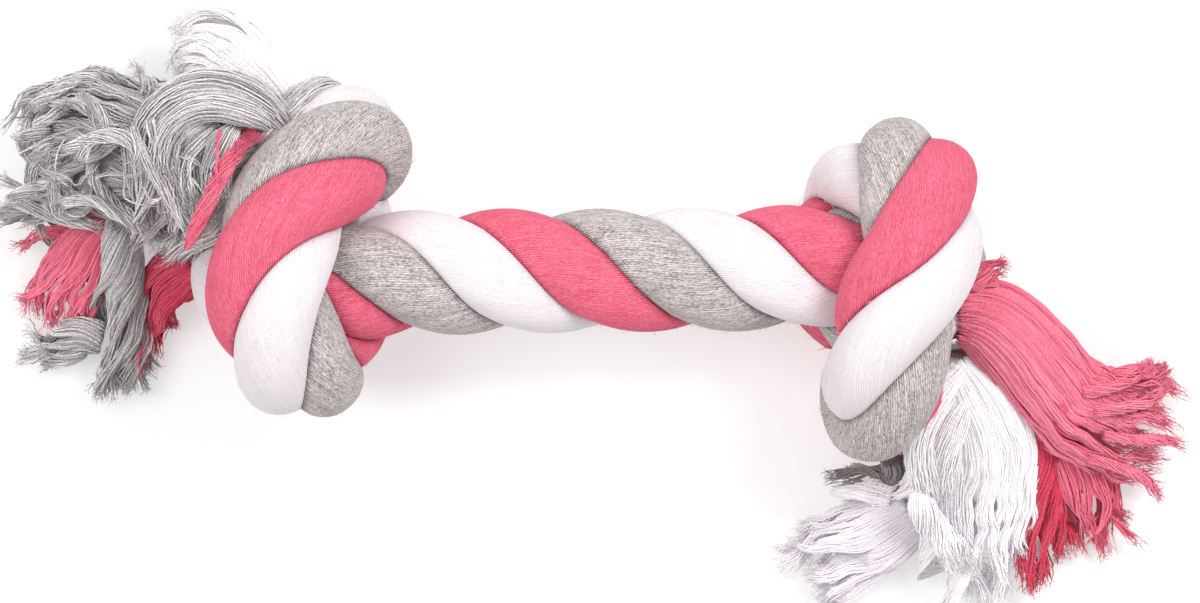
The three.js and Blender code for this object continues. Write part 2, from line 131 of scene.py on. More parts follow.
# The rope's route in rope diameters from the middle of each knot, from the left tail to the right
LEFT_ROUTE = [
    (-0.30, 1.00, -0.06), (-0.04, 0.84, -0.10), (0.18, 0.60, -0.20), (0.26, 0.30, -0.42),
    (0.34, 0.04, -0.60), (0.22, -0.28, -0.58), (0.16, -0.68, -0.18), (-0.02, -0.80, 0.36),
    (-0.24, -0.42, 0.74), (-0.26, 0.02, 0.82), (-0.12, 0.45, 0.76), (0.26, 0.90, 0.48),
    (0.49, 1.06, -0.04), (0.24, 0.82, -0.68), (-0.10, 0.40, -1.02), (-0.32, 0.06, -0.92),
    (-0.44, -0.08, -0.46), (-0.28, -0.12, 0.00), (0.10, -0.10, 0.12), (0.60, -0.04, 0.08),
    (1.15, 0.00, 0.00),
]
RIGHT_ROUTE = [
    (-1.15, 0.00, 0.00), (-0.60, 0.04, 0.08), (-0.20, 0.10, 0.12), (0.10, 0.10, 0.00),
    (0.18, 0.04, -0.46), (0.14, -0.10, -0.94), (-0.06, -0.44, -1.02), (-0.16, -0.88, -0.70),
    (-0.20, -1.12, -0.06), (-0.18, -0.98, 0.48), (-0.16, -0.50, 0.76), (0.05, -0.04, 0.82),
    (0.16, 0.40, 0.74), (0.08, 0.78, 0.36), (-0.18, 0.72, -0.18), (-0.45, 0.40, -0.54),
    (-0.58, 0.04, -0.60), (-0.38, -0.28, -0.42), (0.00, -0.46, -0.20), (0.38, -0.58, -0.10),
]

# Locks: yarns, clumps, twist in turns, mess, painted shade of the whole lock where it lies in shade, and
# the shares of its length between which a lock's clumps are cut. Rows give its middle line in rope
# diameters from its knot, and half its width and height there. A name starts with the knot's side and
# the yarn's colour.
LOCKS = {
    "left_pink_bundle": dict(
        yarns=110, clumps=3, twist=1.0, mess=0.00, painted_shade=0.3, cut=(0.97, 1.00), rows=[
            (-1.00, 0.05, -0.70, 0.06, 0.07), (-0.90, 0.25, -0.40, 0.06, 0.07),
            (-0.75, 0.50, 0.20, 0.06, 0.07), (-0.60, 0.80, 0.50, 0.06, 0.07),
            (-0.50, 1.00, 0.55, 0.06, 0.07), (-0.40, 1.10, 0.50, 0.06, 0.07),
        ]),
    "left_grey_wisp": dict(
        yarns=34, clumps=3, twist=0.3, mess=0.50, painted_shade=0.0, cut=(0.75, 1.15), rows=[
            (-1.20, 1.35, 0.10, 0.05, 0.07), (-1.20, 1.45, 0.25, 0.05, 0.07),
            (-1.25, 1.55, 0.30, 0.06, 0.07), (-1.30, 1.65, 0.30, 0.05, 0.07),
        ]),
    "left_grey_curtain_lock": dict(
        yarns=300, clumps=8, twist=0.0, mess=0.05, painted_shade=0.0, cut=(0.92, 1.00), rows=[
            (-0.15, 1.05, 0.20, 0.14, 0.14), (-0.38, 0.96, 0.25, 0.30, 0.18),
            (-0.64, 0.90, 0.18, 0.42, 0.18), (-0.82, 0.70, -0.05, 0.41, 0.16),
            (-0.90, 0.45, -0.35, 0.34, 0.14), (-0.95, 0.20, -0.60, 0.26, 0.13),
        ]),
    "left_grey_fringe_lock": dict(
        yarns=200, clumps=7, twist=0.2, mess=0.40, painted_shade=0.0, cut=(0.72, 0.96), rows=[
            (-1.30, 1.15, 0.20, 0.16, 0.13), (-1.20, 0.90, 0.20, 0.22, 0.16),
            (-1.10, 0.60, 0.00, 0.26, 0.16), (-1.05, 0.35, -0.25, 0.27, 0.14),
            (-1.05, 0.10, -0.55, 0.24, 0.13),
        ]),
    "left_grey_arch_lock": dict(
        yarns=300, clumps=14, twist=0.3, mess=0.35, painted_shade=0.05, cut=(0.78, 0.94), rows=[
            (-0.10, 1.15, 0.35, 0.11, 0.16), (-0.40, 1.40, 0.45, 0.21, 0.19),
            (-0.75, 1.40, 0.25, 0.26, 0.26), (-1.10, 1.25, 0.05, 0.22, 0.26),
            (-1.40, 1.35, -0.15, 0.24, 0.29), (-1.70, 1.40, -0.40, 0.27, 0.29),
            (-2.05, 1.30, -0.65, 0.24, 0.26), (-2.25, 0.95, -0.85, 0.14, 0.19),
        ]),
    "left_grey_roll_lock": dict(
        yarns=340, clumps=10, twist=0.4, mess=0.80, painted_shade=0.0, cut=(0.85, 1.02), rows=[
            (-1.10, 0.95, -0.20, 0.24, 0.26), (-1.35, 0.85, -0.30, 0.30, 0.29),
            (-1.65, 0.75, -0.45, 0.30, 0.29), (-1.90, 0.65, -0.70, 0.27, 0.29),
            (-2.15, 0.55, -0.85, 0.21, 0.26), (-2.30, 0.50, -1.00, 0.11, 0.16),
        ]),
    "left_pink_wisp": dict(
        yarns=22, clumps=3, twist=0.2, mess=0.70, painted_shade=0.3, cut=(0.60, 1.05), rows=[
            (-1.80, 0.40, -0.90, 0.06, 0.08), (-1.95, 0.35, -0.95, 0.06, 0.08),
            (-2.10, 0.30, -1.05, 0.06, 0.08), (-2.30, 0.20, -1.10, 0.04, 0.08),
        ]),
    "left_pink_fan_lock": dict(
        yarns=460, clumps=34, twist=0.0, mess=0.12, painted_shade=0.25, cut=(0.66, 0.98), rows=[
            (-1.50, 0.35, -0.85, 0.16, 0.19), (-1.65, 0.30, -0.85, 0.21, 0.26),
            (-1.80, 0.05, -0.95, 0.27, 0.26), (-1.90, -0.15, -1.05, 0.32, 0.19),
            (-2.00, -0.40, -1.25, 0.29, 0.13),
        ]),
    "left_grey_hanging_lock": dict(
        yarns=400, clumps=14, twist=0.6, mess=0.25, painted_shade=0.2, cut=(0.88, 1.05), rows=[
            (-1.40, 0.45, -0.50, 0.14, 0.22), (-1.45, 0.25, -0.65, 0.18, 0.26),
            (-1.45, -0.05, -0.85, 0.18, 0.26), (-1.45, -0.40, -0.95, 0.19, 0.26),
            (-1.45, -0.70, -1.05, 0.21, 0.22), (-1.45, -0.95, -1.20, 0.21, 0.16),
        ]),
    "left_grey_curl_lock": dict(
        yarns=260, clumps=12, twist=0.3, mess=0.40, painted_shade=0.1, cut=(0.65, 1.10), rows=[
            (-1.60, -0.55, -1.00, 0.13, 0.19), (-1.80, -0.50, -1.00, 0.16, 0.22),
            (-1.90, -0.60, -1.05, 0.16, 0.22), (-2.05, -0.65, -1.10, 0.14, 0.19),
            (-2.20, -0.65, -1.15, 0.10, 0.16),
        ]),
    "left_pink_back_lock": dict(
        yarns=300, clumps=16, twist=0.0, mess=0.20, painted_shade=1.0, cut=(0.75, 1.05), rows=[
            (-0.75, 0.10, -0.65, 0.16, 0.22), (-0.95, 0.00, -0.85, 0.24, 0.26),
            (-1.10, -0.10, -0.95, 0.24, 0.26), (-1.20, -0.30, -1.05, 0.18, 0.22),
            (-1.20, -0.60, -1.20, 0.14, 0.16),
        ]),
    "left_grey_under_lock": dict(
        yarns=400, clumps=9, twist=0.3, mess=0.60, painted_shade=0.1, cut=(0.90, 1.00), rows=[
            (-1.20, 1.15, -0.45, 0.27, 0.26), (-1.50, 1.00, -0.65, 0.34, 0.29),
            (-1.80, 0.95, -0.80, 0.35, 0.32), (-2.05, 0.75, -0.95, 0.30, 0.29),
            (-1.90, 0.50, -1.05, 0.29, 0.26), (-1.60, 0.40, -1.05, 0.24, 0.22),
        ]),
    "left_white_puff_lock": dict(
        yarns=680, clumps=34, twist=0.0, mess=0.10, painted_shade=0.0, cut=(0.70, 1.00), rows=[
            (-0.10, 1.30, -0.20, 0.13, 0.22), (-0.28, 1.48, -0.25, 0.26, 0.29),
            (-0.48, 1.65, -0.38, 0.34, 0.32), (-0.70, 1.76, -0.56, 0.38, 0.30),
            (-0.90, 1.74, -0.72, 0.32, 0.24), (-1.04, 1.60, -0.86, 0.20, 0.18),
        ]),
    "right_pink_top_tuft": dict(
        yarns=56, clumps=5, twist=0.1, mess=0.40, painted_shade=0.2, cut=(0.70, 1.05), rows=[
            (0.55, -0.15, 0.20, 0.07, 0.13), (0.65, 0.00, 0.25, 0.09, 0.13),
            (0.80, 0.05, 0.20, 0.06, 0.10),
        ]),
    "right_pink_main_lock": dict(
        yarns=780, clumps=60, twist=0.0, mess=0.06, painted_shade=0.0, cut=(0.74, 1.05), rows=[
            (0.40, -0.35, 0.05, 0.24, 0.29), (0.65, -0.35, 0.05, 0.35, 0.35),
            (0.95, -0.60, -0.15, 0.37, 0.35), (1.20, -0.95, -0.40, 0.37, 0.32),
            (1.50, -1.20, -0.65, 0.40, 0.29), (1.80, -1.30, -0.90, 0.46, 0.22),
            (2.10, -1.40, -1.20, 0.42, 0.16),
        ]),
    "right_white_main_lock": dict(
        yarns=760, clumps=26, twist=0.0, mess=0.04, painted_shade=0.0, cut=(0.82, 1.06), rows=[
            (0.35, -0.65, -0.15, 0.16, 0.26), (0.45, -0.90, -0.25, 0.34, 0.32),
            (0.60, -1.20, -0.45, 0.42, 0.32), (0.70, -1.50, -0.70, 0.43, 0.29),
            (0.68, -1.85, -0.90, 0.41, 0.26), (0.67, -2.20, -1.05, 0.39, 0.22),
            (0.70, -2.50, -1.20, 0.30, 0.16),
        ]),
    "right_white_fold_lock": dict(
        yarns=210, clumps=4, twist=0.0, mess=0.00, painted_shade=0.0, cut=(0.95, 1.00), rows=[
            (0.32, -0.75, -0.05, 0.10, 0.22), (0.25, -1.00, -0.20, 0.13, 0.22),
            (0.19, -1.25, -0.40, 0.14, 0.22), (0.20, -1.50, -0.60, 0.14, 0.22),
            (0.24, -1.75, -0.80, 0.13, 0.19),
        ]),
    "right_pink_corner_lock": dict(
        yarns=170, clumps=12, twist=0.1, mess=0.40, painted_shade=0.0, cut=(0.65, 1.10), rows=[
            (1.60, -0.90, -0.65, 0.11, 0.16), (1.80, -0.90, -0.70, 0.13, 0.19),
            (1.95, -0.85, -0.80, 0.14, 0.19), (2.05, -0.80, -0.85, 0.11, 0.13),
        ]),
    "right_pink_fringe_lock": dict(
        yarns=300, clumps=22, twist=0.0, mess=0.30, painted_shade=0.3, cut=(0.65, 1.08), rows=[
            (1.30, -1.40, -0.80, 0.19, 0.19), (1.45, -1.70, -0.95, 0.26, 0.19),
            (1.55, -1.90, -1.05, 0.27, 0.19), (1.60, -2.15, -1.25, 0.21, 0.13),
        ]),
    "right_pink_dark_lock": dict(
        yarns=280, clumps=12, twist=0.3, mess=0.20, painted_shade=1.0, cut=(0.75, 1.05), rows=[
            (0.90, -1.05, -0.60, 0.13, 0.19), (1.05, -1.30, -0.75, 0.16, 0.22),
            (1.15, -1.55, -0.90, 0.18, 0.22), (1.10, -1.85, -1.00, 0.18, 0.22),
            (1.15, -2.15, -1.05, 0.21, 0.19), (1.20, -2.45, -1.25, 0.21, 0.13),
        ]),
    "right_white_twist_lock": dict(
        yarns=270, clumps=5, twist=0.8, mess=0.05, painted_shade=0.0, cut=(0.85, 1.05), rows=[
            (0.20, -1.70, -0.80, 0.13, 0.22), (0.20, -1.95, -0.85, 0.19, 0.22),
            (0.30, -2.20, -1.00, 0.21, 0.22), (0.45, -2.40, -1.10, 0.21, 0.19),
            (0.55, -2.55, -1.20, 0.16, 0.16),
        ]),
    "right_white_curl_lock": dict(
        yarns=190, clumps=8, twist=0.1, mess=0.30, painted_shade=0.0, cut=(0.75, 1.05), rows=[
            (-0.05, -1.85, -0.80, 0.11, 0.16), (-0.20, -1.80, -0.85, 0.14, 0.19),
            (-0.35, -1.85, -0.90, 0.14, 0.19), (-0.45, -1.95, -1.05, 0.11, 0.13),
        ]),
    "right_grey_lock": dict(
        yarns=190, clumps=9, twist=0.1, mess=0.50, painted_shade=1.0, cut=(0.75, 1.05), rows=[
            (-0.10, -1.45, -0.70, 0.11, 0.16), (0.00, -1.65, -0.85, 0.13, 0.16),
            (-0.15, -1.70, -0.95, 0.12, 0.16), (-0.35, -1.70, -0.95, 0.13, 0.16),
            (-0.50, -1.75, -1.05, 0.13, 0.13),
        ]),
    "right_white_fan_lock": dict(
        yarns=520, clumps=22, twist=0.0, mess=0.10, painted_shade=0.9, cut=(0.78, 1.05), rows=[
            (0.12, -1.92, -0.90, 0.22, 0.26), (-0.08, -2.06, -0.95, 0.30, 0.26),
            (-0.34, -2.20, -1.00, 0.34, 0.26), (-0.58, -2.33, -1.05, 0.35, 0.19),
            (-0.82, -2.42, -1.25, 0.27, 0.13),
        ]),
}
# Small bundles and single yarns: the lock that each belongs to, yarns, radius in metres, twist, and
# its points in rope diameters from the knot. Those without heights lie on top of the locks.
STRAYS = [
    ("left_grey_arch_lock", 120, 0.0042, 0.1,
     [(0.30, 1.47, -0.25), (0.14, 1.44, 0.00), (0.00, 1.34, 0.20), (-0.10, 1.20, 0.34),
      (-0.24, 1.05, 0.38), (-0.36, 0.92, 0.36)]),
    ("left_grey_curtain_lock", 100, 0.0042, 0.1,
     [(-1.00, 1.28, -0.05), (-1.06, 1.10, -0.10), (-1.02, 0.92, -0.12), (-0.92, 0.75, -0.12)]),
    ("left_grey_arch_lock", 170, 0.0055, 0.2,
     [(-2.06, 1.26, -0.62), (-1.84, 1.40, -0.52), (-1.56, 1.43, -0.38), (-1.28, 1.35, -0.24),
      (-1.04, 1.26, -0.10)]),
    ("left_grey_under_lock", 120, 0.0050, 0.3,
     [(-2.16, 1.08, -0.75), (-1.92, 1.22, -0.65), (-1.64, 1.27, -0.50), (-1.36, 1.22, -0.40)]),
    ("left_grey_under_lock", 90, 0.0045, 0.3,
     [(-1.75, 0.62, -0.60), (-1.45, 0.52, -0.50), (-1.15, 0.42, -0.40)]),
    ("left_grey_arch_lock", 150, 0.0044, 0.1,
     [(-0.10, 1.16), (-0.35, 1.43), (-0.74, 1.52), (-1.06, 1.36), (-1.24, 1.10), (-1.22, 0.82)]),
    ("left_grey_arch_lock", 130, 0.0040, 0.1,
     [(-0.18, 1.12), (-0.44, 1.30), (-0.76, 1.34), (-1.00, 1.18), (-1.10, 0.95), (-1.06, 0.70)]),
    ("left_grey_curtain_lock", 110, 0.0038, 0.1,
     [(-0.50, 1.16), (-0.62, 0.98), (-0.67, 0.76), (-0.64, 0.54)]),
    ("left_grey_curtain_lock", 110, 0.0038, 0.1,
     [(-0.62, 1.17), (-0.78, 1.10), (-0.90, 0.94), (-0.92, 0.74), (-0.84, 0.50)]),
    ("left_grey_roll_lock", 34, 0.0016, 1.4,
     [(-2.34, 0.56), (-2.07, 0.70), (-1.74, 0.87), (-1.47, 1.02), (-1.36, 1.15)]),
    ("left_grey_fringe_lock", 40, 0.0019, 0.6,
     [(-1.36, 1.14), (-1.24, 0.90), (-1.07, 0.67), (-0.94, 0.43), (-0.83, 0.26)]),
    ("left_grey_roll_lock", 28, 0.0015, 1.2,
     [(-1.64, 0.89), (-1.70, 0.79), (-1.60, 0.63), (-1.44, 0.50), (-1.20, 0.27)]),
    ("left_grey_arch_lock", 28, 0.0016, 1.0,
     [(-2.16, 1.30), (-1.99, 1.43), (-1.78, 1.56), (-1.57, 1.59), (-1.40, 1.49)]),
    ("left_grey_arch_lock", 30, 0.0016, 1.0,
     [(-2.24, 1.05), (-2.04, 1.14), (-1.84, 1.19), (-1.60, 1.14), (-1.38, 1.11)]),
    ("left_grey_roll_lock", 24, 0.0014, 1.0,
     [(-1.92, 0.52), (-1.72, 0.60), (-1.56, 0.52), (-1.38, 0.39), (-1.27, 0.31)]),
    ("left_grey_under_lock", 30, 0.0016, 0.5,
     [(-2.31, 0.56), (-2.08, 0.47), (-1.84, 0.39), (-1.60, 0.36)]),
    ("left_grey_fringe_lock", 32, 0.0016, 0.8,
     [(-1.20, 1.21), (-1.14, 1.05), (-1.03, 0.85), (-0.88, 0.65), (-0.76, 0.28)]),
    ("left_grey_roll_lock", 2, 0.0004, 1.0, [(-2.27, 0.93), (-2.04, 1.06), (-1.83, 1.14), (-1.66, 1.13)]),
    ("left_grey_fringe_lock", 3, 0.0004, 1.0, [(-1.20, 0.51), (-0.99, 0.66), (-0.80, 0.86), (-0.76, 0.95)]),
    ("left_grey_curtain_lock", 2, 0.0002, 0.0, [(-0.98, 0.62), (-0.80, 0.52), (-0.60, 0.40)]),
    ("left_grey_curtain_lock", 3, 0.0004, 0.5, [(-0.87, 0.74), (-0.71, 0.59), (-0.69, 0.53)]),
    ("left_grey_roll_lock", 3, 0.0005, 0.5, [(-1.64, 0.73), (-1.52, 0.79), (-1.36, 0.74), (-1.20, 0.79)]),
    ("left_grey_roll_lock", 2, 0.0002, 0.0, [(-1.28, 0.68), (-1.20, 0.66), (-1.22, 0.58), (-1.30, 0.60)]),
    ("left_pink_bundle", 80, 0.0020, 0.9,
     [(-0.90, 0.17), (-0.84, 0.30), (-0.71, 0.57), (-0.57, 0.84), (-0.43, 1.04)]),
    ("left_pink_bundle", 5, 0.0004, 0.8, [(-0.62, 1.13), (-0.66, 0.91), (-0.62, 0.67)]),
    ("right_pink_main_lock", 30, 0.0014, 0.9, [(1.42, -0.98), (1.68, -0.95), (1.86, -0.86), (1.97, -0.74)]),
    ("right_pink_main_lock", 30, 0.0014, 0.9, [(1.52, -1.13), (1.85, -1.10), (2.05, -1.02), (2.17, -0.88)]),
    ("right_pink_main_lock", 28, 0.0013, 0.9, [(1.60, -1.32), (1.92, -1.38), (2.15, -1.34), (2.27, -1.44)]),
    ("right_pink_main_lock", 28, 0.0013, 0.9, [(1.48, -1.50), (1.80, -1.60), (2.00, -1.70), (2.08, -1.86)]),
    ("right_white_main_lock", 170, 0.0044, 0.1,
     [(0.42, -1.15, -0.26), (0.37, -1.50, -0.47), (0.36, -1.85, -0.70), (0.42, -2.15, -0.86),
      (0.52, -2.45, -1.00)]),
    ("right_white_fold_lock", 170, 0.0038, 0.1,
     [(0.46, -0.78, 0.04), (0.27, -1.00, 0.16), (0.11, -1.26, 0.20), (0.10, -1.52, 0.04),
      (0.22, -1.80, -0.42)]),
    ("right_white_fold_lock", 170, 0.0042, 0.1,
     [(0.50, -1.00, -0.08), (0.38, -1.22, -0.04), (0.29, -1.48, -0.14), (0.30, -1.78, -0.46)]),
    ("right_white_twist_lock", 180, 0.0038, 0.6,
     [(0.10, -1.72), (0.14, -1.96), (0.34, -2.18), (0.54, -2.42)]),
]
# Nests of such bundles: lock, bundles, least and most yarns in each, radius in metres, and the nest's
# middle and half sizes in rope diameters from the knot
NESTS = [
    ("left_grey_under_lock", 6, (20, 34), 0.0016, (-1.90, 1.02), (0.38, 0.42)),
    ("left_grey_roll_lock", 6, (20, 34), 0.0015, (-1.58, 0.80), (0.44, 0.42)),
    ("left_grey_under_lock", 4, (20, 34), 0.0015, (-1.90, 0.66), (0.40, 0.30)),
    ("left_grey_fringe_lock", 6, (1, 4), 0.0004, (-1.06, 0.66), (0.40, 0.34)),
    ("left_grey_roll_lock", 3, (1, 3), 0.0004, (-1.75, 0.85), (0.50, 0.45)),
]

# Camera


def set_camera():
    data = bpy.data.cameras.new("camera")
    data.sensor_width = CAMERA_SENSOR
    data.lens = CAMERA_LENS
    camera = bpy.data.objects.new("camera", data)
    camera.location = CAMERA_PLACE
    bpy.context.scene.collection.objects.link(camera)
    bpy.context.scene.camera = camera


# Lines


def unit(vectors):
    return vectors / np.maximum(np.linalg.norm(vectors, axis=-1, keepdims=True), TINY)


def bspline(points, steps):
    """Uniform cubic B-spline of the points, from the first of them to the last."""
    p = np.array(points, float)
    p = np.vstack([2 * p[0] - p[1], p, 2 * p[-1] - p[-2]])
    t = (np.arange(steps) / steps)[:, None]
    weights = (
        (1 - t) ** 3 / 6,
        (3 * t**3 - 6 * t**2 + 4) / 6,
        (-3 * t**3 + 3 * t**2 + 3 * t + 1) / 6,
        t**3 / 6,
    )
    spans = [sum(w * p[i + n] for n, w in enumerate(weights)) for i in range(len(p) - 3)]
    return np.vstack(spans + [np.array(points[-1], float)[None]])


def distances(line):
    """Distance along the line of each of its points."""
    steps = np.linalg.norm(np.diff(line, axis=0), axis=1)
    return np.concatenate([[0], np.cumsum(steps)])


def evenly_spaced(line, step, values=None):
    """The line, or values given along it, at even steps."""
    along = distances(line)
    want = np.linspace(0, along[-1], int(round(along[-1] / step)) + 1)
    source = line if values is None else values
    return np.stack([np.interp(want, along, source[:, k]) for k in range(3)], axis=1)


def carried_frames(line):
    """Directions along the line and two square to it, carried along without turning."""
    along = np.empty_like(line)
    along[1:-1] = line[2:] - line[:-2]
    along[0] = line[1] - line[0]
    along[-1] = line[-1] - line[-2]
    along = unit(along)
    side = np.empty_like(line)
    carried = UP
    for i, direction in enumerate(along):
        carried = unit(carried - direction * carried.dot(direction))
        side[i] = carried
    return along, side, np.cross(along, side)


def full_turn(count):
    """Angles of count points evenly round a ring."""
    return 2 * math.pi * np.arange(count) / count


def smooth_step(low, high, t):
    """Rises smoothly from 0 at low to 1 at high."""
    t = np.clip((t - low) / (high - low), 0, 1)
    return t * t * (3 - 2 * t)


def lay_turn(distance):
    """The rope's turn at distances from its middle, from the length of one turn in each stretch."""
    turns = 0
    for lays, reach in ((LEFT_LAYS, -distance), (RIGHT_LAYS, distance)):
        before = 0
        part = 0
        for end, lay in lays:
            part = part + np.clip(reach - before, 0, end - before) / lay
            before = end
        turns = turns + np.sign(distance) * part
    return TURN_AT_MIDDLE + 2 * math.pi * turns


def strand_lines():
    """Centrelines of the grey, the white and the pink strand, and their directions to the rope's axis."""
    route = np.vstack([
        LEFT_KNOT + np.array(LEFT_ROUTE) * ROPE_DIAMETER,
        RIGHT_KNOT + np.array(RIGHT_ROUTE) * ROPE_DIAMETER,
    ])
    line = evenly_spaced(bspline(route, SPLINE_STEPS), ROUTE_STEP)
    _, side, rise = carried_frames(line)
    middle = np.argmin(np.abs(line - ROPE_MIDDLE).sum(axis=1))
    start = math.atan2(AWAY.dot(rise[middle]), AWAY.dot(side[middle]))
    run = distances(line)
    turn = start + lay_turn(run - run[middle])
    lines = []
    for third in STRAND_THIRDS:
        a = (turn + 2 * math.pi * third / 3)[:, None]
        outward = np.cos(a) * side + np.sin(a) * rise
        lines.append((line + STRAND_OFFSET * outward, -outward))
    return lines


# Swept meshes


def ring_profile(count):
    """A ring of count straight sides, to sweep along a path."""
    curve = bpy.data.curves.new("ring_profile", "CURVE")
    curve.dimensions = "2D"
    spline = curve.splines.new("POLY")
    spline.points.add(count - 1)
    turn = full_turn(count)
    flat = np.stack([np.cos(turn), np.sin(turn), 0 * turn, 0 * turn + 1], axis=1)
    spline.points.foreach_set("co", flat.ravel())
    spline.use_cyclic_u = True
    return bpy.data.objects.new("ring_profile", curve)


def swept_mesh(name, paths, radii, sides):
    """Tubes along paths, made as one bevelled curve and turned into a mesh."""
    curve = bpy.data.curves.new(name, "CURVE")
    curve.dimensions = "3D"
    curve.bevel_mode = "OBJECT"
    curve.bevel_object = ring_profile(sides)
    for path, radius in zip(paths, radii):
        spline = curve.splines.new("POLY")
        spline.points.add(len(path) - 1)
        spline.points.foreach_set("co", np.hstack([path, np.ones((len(path), 1))]).ravel())
        spline.points.foreach_set("radius", np.broadcast_to(radius, len(path)).copy())
        spline.use_smooth = True
    carrier = bpy.data.objects.new(name, curve)
    bpy.context.scene.collection.objects.link(carrier)
    bpy.context.view_layer.update()
    graph = bpy.context.evaluated_depsgraph_get()
    mesh = bpy.data.meshes.new_from_object(carrier.evaluated_get(graph))
    bpy.data.objects.remove(carrier)
    bpy.data.curves.remove(curve)
    mesh.name = name
    return mesh


def move_vertices(mesh, points):
    """Give the swept rings their real shape."""
    mesh.vertices.foreach_set("co", points.reshape(-1, 3).astype(np.float32).ravel())
    mesh.update()


def write_uv(mesh, along, place, sides, shift=None):
    """UV map of tubes: along in metres, place the vertex's number round its ring."""
    corners = np.empty(len(mesh.loops), np.int64)
    mesh.loops.foreach_get("vertex_index", corners)
    starts = np.empty(len(mesh.polygons), np.int64)
    totals = np.empty(len(mesh.polygons), np.int64)
    mesh.polygons.foreach_get("loop_start", starts)
    mesh.polygons.foreach_get("loop_total", totals)
    round_place = place[corners]
    face_high = np.maximum.reduceat(round_place, starts)
    high = np.repeat(face_high, totals)
    wraps = (np.repeat(totals, totals) == 4) & (high == sides - 1) & (round_place == 0)
    v = np.where(wraps, sides, round_place) / sides
    if shift is not None:
        v = v + shift[corners]
    layer = mesh.uv_layers[0] if mesh.uv_layers else mesh.uv_layers.new(name="UVMap")
    layer.data.foreach_set("uv", np.stack([along[corners], v], axis=1).astype(np.float32).ravel())


def write_values(mesh, name, values):
    """A number at each vertex, which the materials read by its name."""
    layer = mesh.attributes.new(name, "FLOAT", "POINT")
    layer.data.foreach_set("value", np.asarray(values, np.float32).ravel())


def new_piece(name, mesh, material, node):
    """A visible piece of the node, made of the mesh, which rides on the part's one body."""
    piece = bpy.data.objects.new(name, mesh)
    bpy.context.scene.collection.objects.link(piece)
    mesh.materials.clear()
    mesh.materials.append(material)
    mesh.polygons.foreach_set("use_smooth", np.ones(len(mesh.polygons), bool))
    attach(piece, "root")
    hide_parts(node)
    return piece


def fibre_path(start, root, lean, bend, reach, radius):
    """A short fibre of two stretches, one leaning and one bent, that stays above the floor."""
    path = np.stack([start, root + lean * reach, root + (lean + bend) * reach])
    path[:, 2] = np.maximum(path[:, 2], radius)
    return path


# Materials

# Noise in the cotton: scale along the yarn in millimetres, scale across it in yarns, and detail
FIBRE_NOISE = (1.5, 1.7, 2.0)
STREAK_NOISE = (0.30, 1.3, 3.0)
CLOUD_NOISE = (0.12, 0.16, 2.0)
SPECK_NOISE = (1.9, 2.1, 1.0)
NOISE_ROUGHNESS = 0.6

# Weight of each noise in the tone from dark to light, and the level at which specks begin to show
FIBRE_WEIGHT = 1.7
STREAK_WEIGHT = 1.1
CLOUD_WEIGHT = 0.5
TONE_MIDDLE = 1.65
SPECK_START = 0.59
SPECK_STEEPNESS = 9.0

# Surface of the cotton
MILLIMETRES = 1000.0
ROUGHNESS = 0.92
SHINE = 0.15
SHEEN_ROUGHNESS = 0.6
BUMP_STRENGTH = 0.6
BUMP_DEPTH = 0.00015
FIBRE_HEIGHT = 0.5

# Spread of shade from yarn to yarn, the share of it that is darker, and the step from yarn to yarn
# through the noise of a strand
PACKED_SPREAD = 0.05
LOOSE_SPREAD = 1.2
DARKER_SHARE = 0.62
SEED_STEP = 0.37

# Painted shade in the grooves between the yarns of a strand, which are bumped as well, and painted shade
# where strands touch
EDGE_SHARPNESS = 3.0
EDGE_HEIGHT = 0.8
TOUCHING_SHARPNESS = 4.0
TOUCHING_SHADE = 0.35

# Plies of a loose yarn: twist in radians for each millimetre, two turns round the yarn, and the height
# of a ply, and the painted light and shade that follow its crests and hollows
PLY_TWIST = 4.4
TWO_TURNS = 12.566
PLY_HEIGHT = 0.35
PLY_SHADE = 0.2


def add_node(tree, kind, settings=(), inputs=()):
    """A shader node with its settings, and with its inputs linked or set."""
    node = tree.nodes.new(kind)
    for name, value in dict(settings).items():
        setattr(node, name, value)
    for name, value in dict(inputs).items():
        if isinstance(value, bpy.types.NodeSocket):
            tree.links.new(value, node.inputs[name])
        else:
            node.inputs[name].default_value = value
    return node


def maths(tree, operation, *values, clamp=False):
    settings = {"operation": operation, "use_clamp": clamp}
    return add_node(tree, "ShaderNodeMath", settings, enumerate(values)).outputs[0]


def mixed(tree, factor, first, second, blend="MIX"):
    """Two colours mixed. A mix node's sockets for colours are numbers 6 and 7, and 2 of its outputs."""
    node = add_node(tree, "ShaderNodeMix", {"data_type": "RGBA", "blend_type": blend},
                    {0: factor, 6: first, 7: second})
    return node.outputs[2]


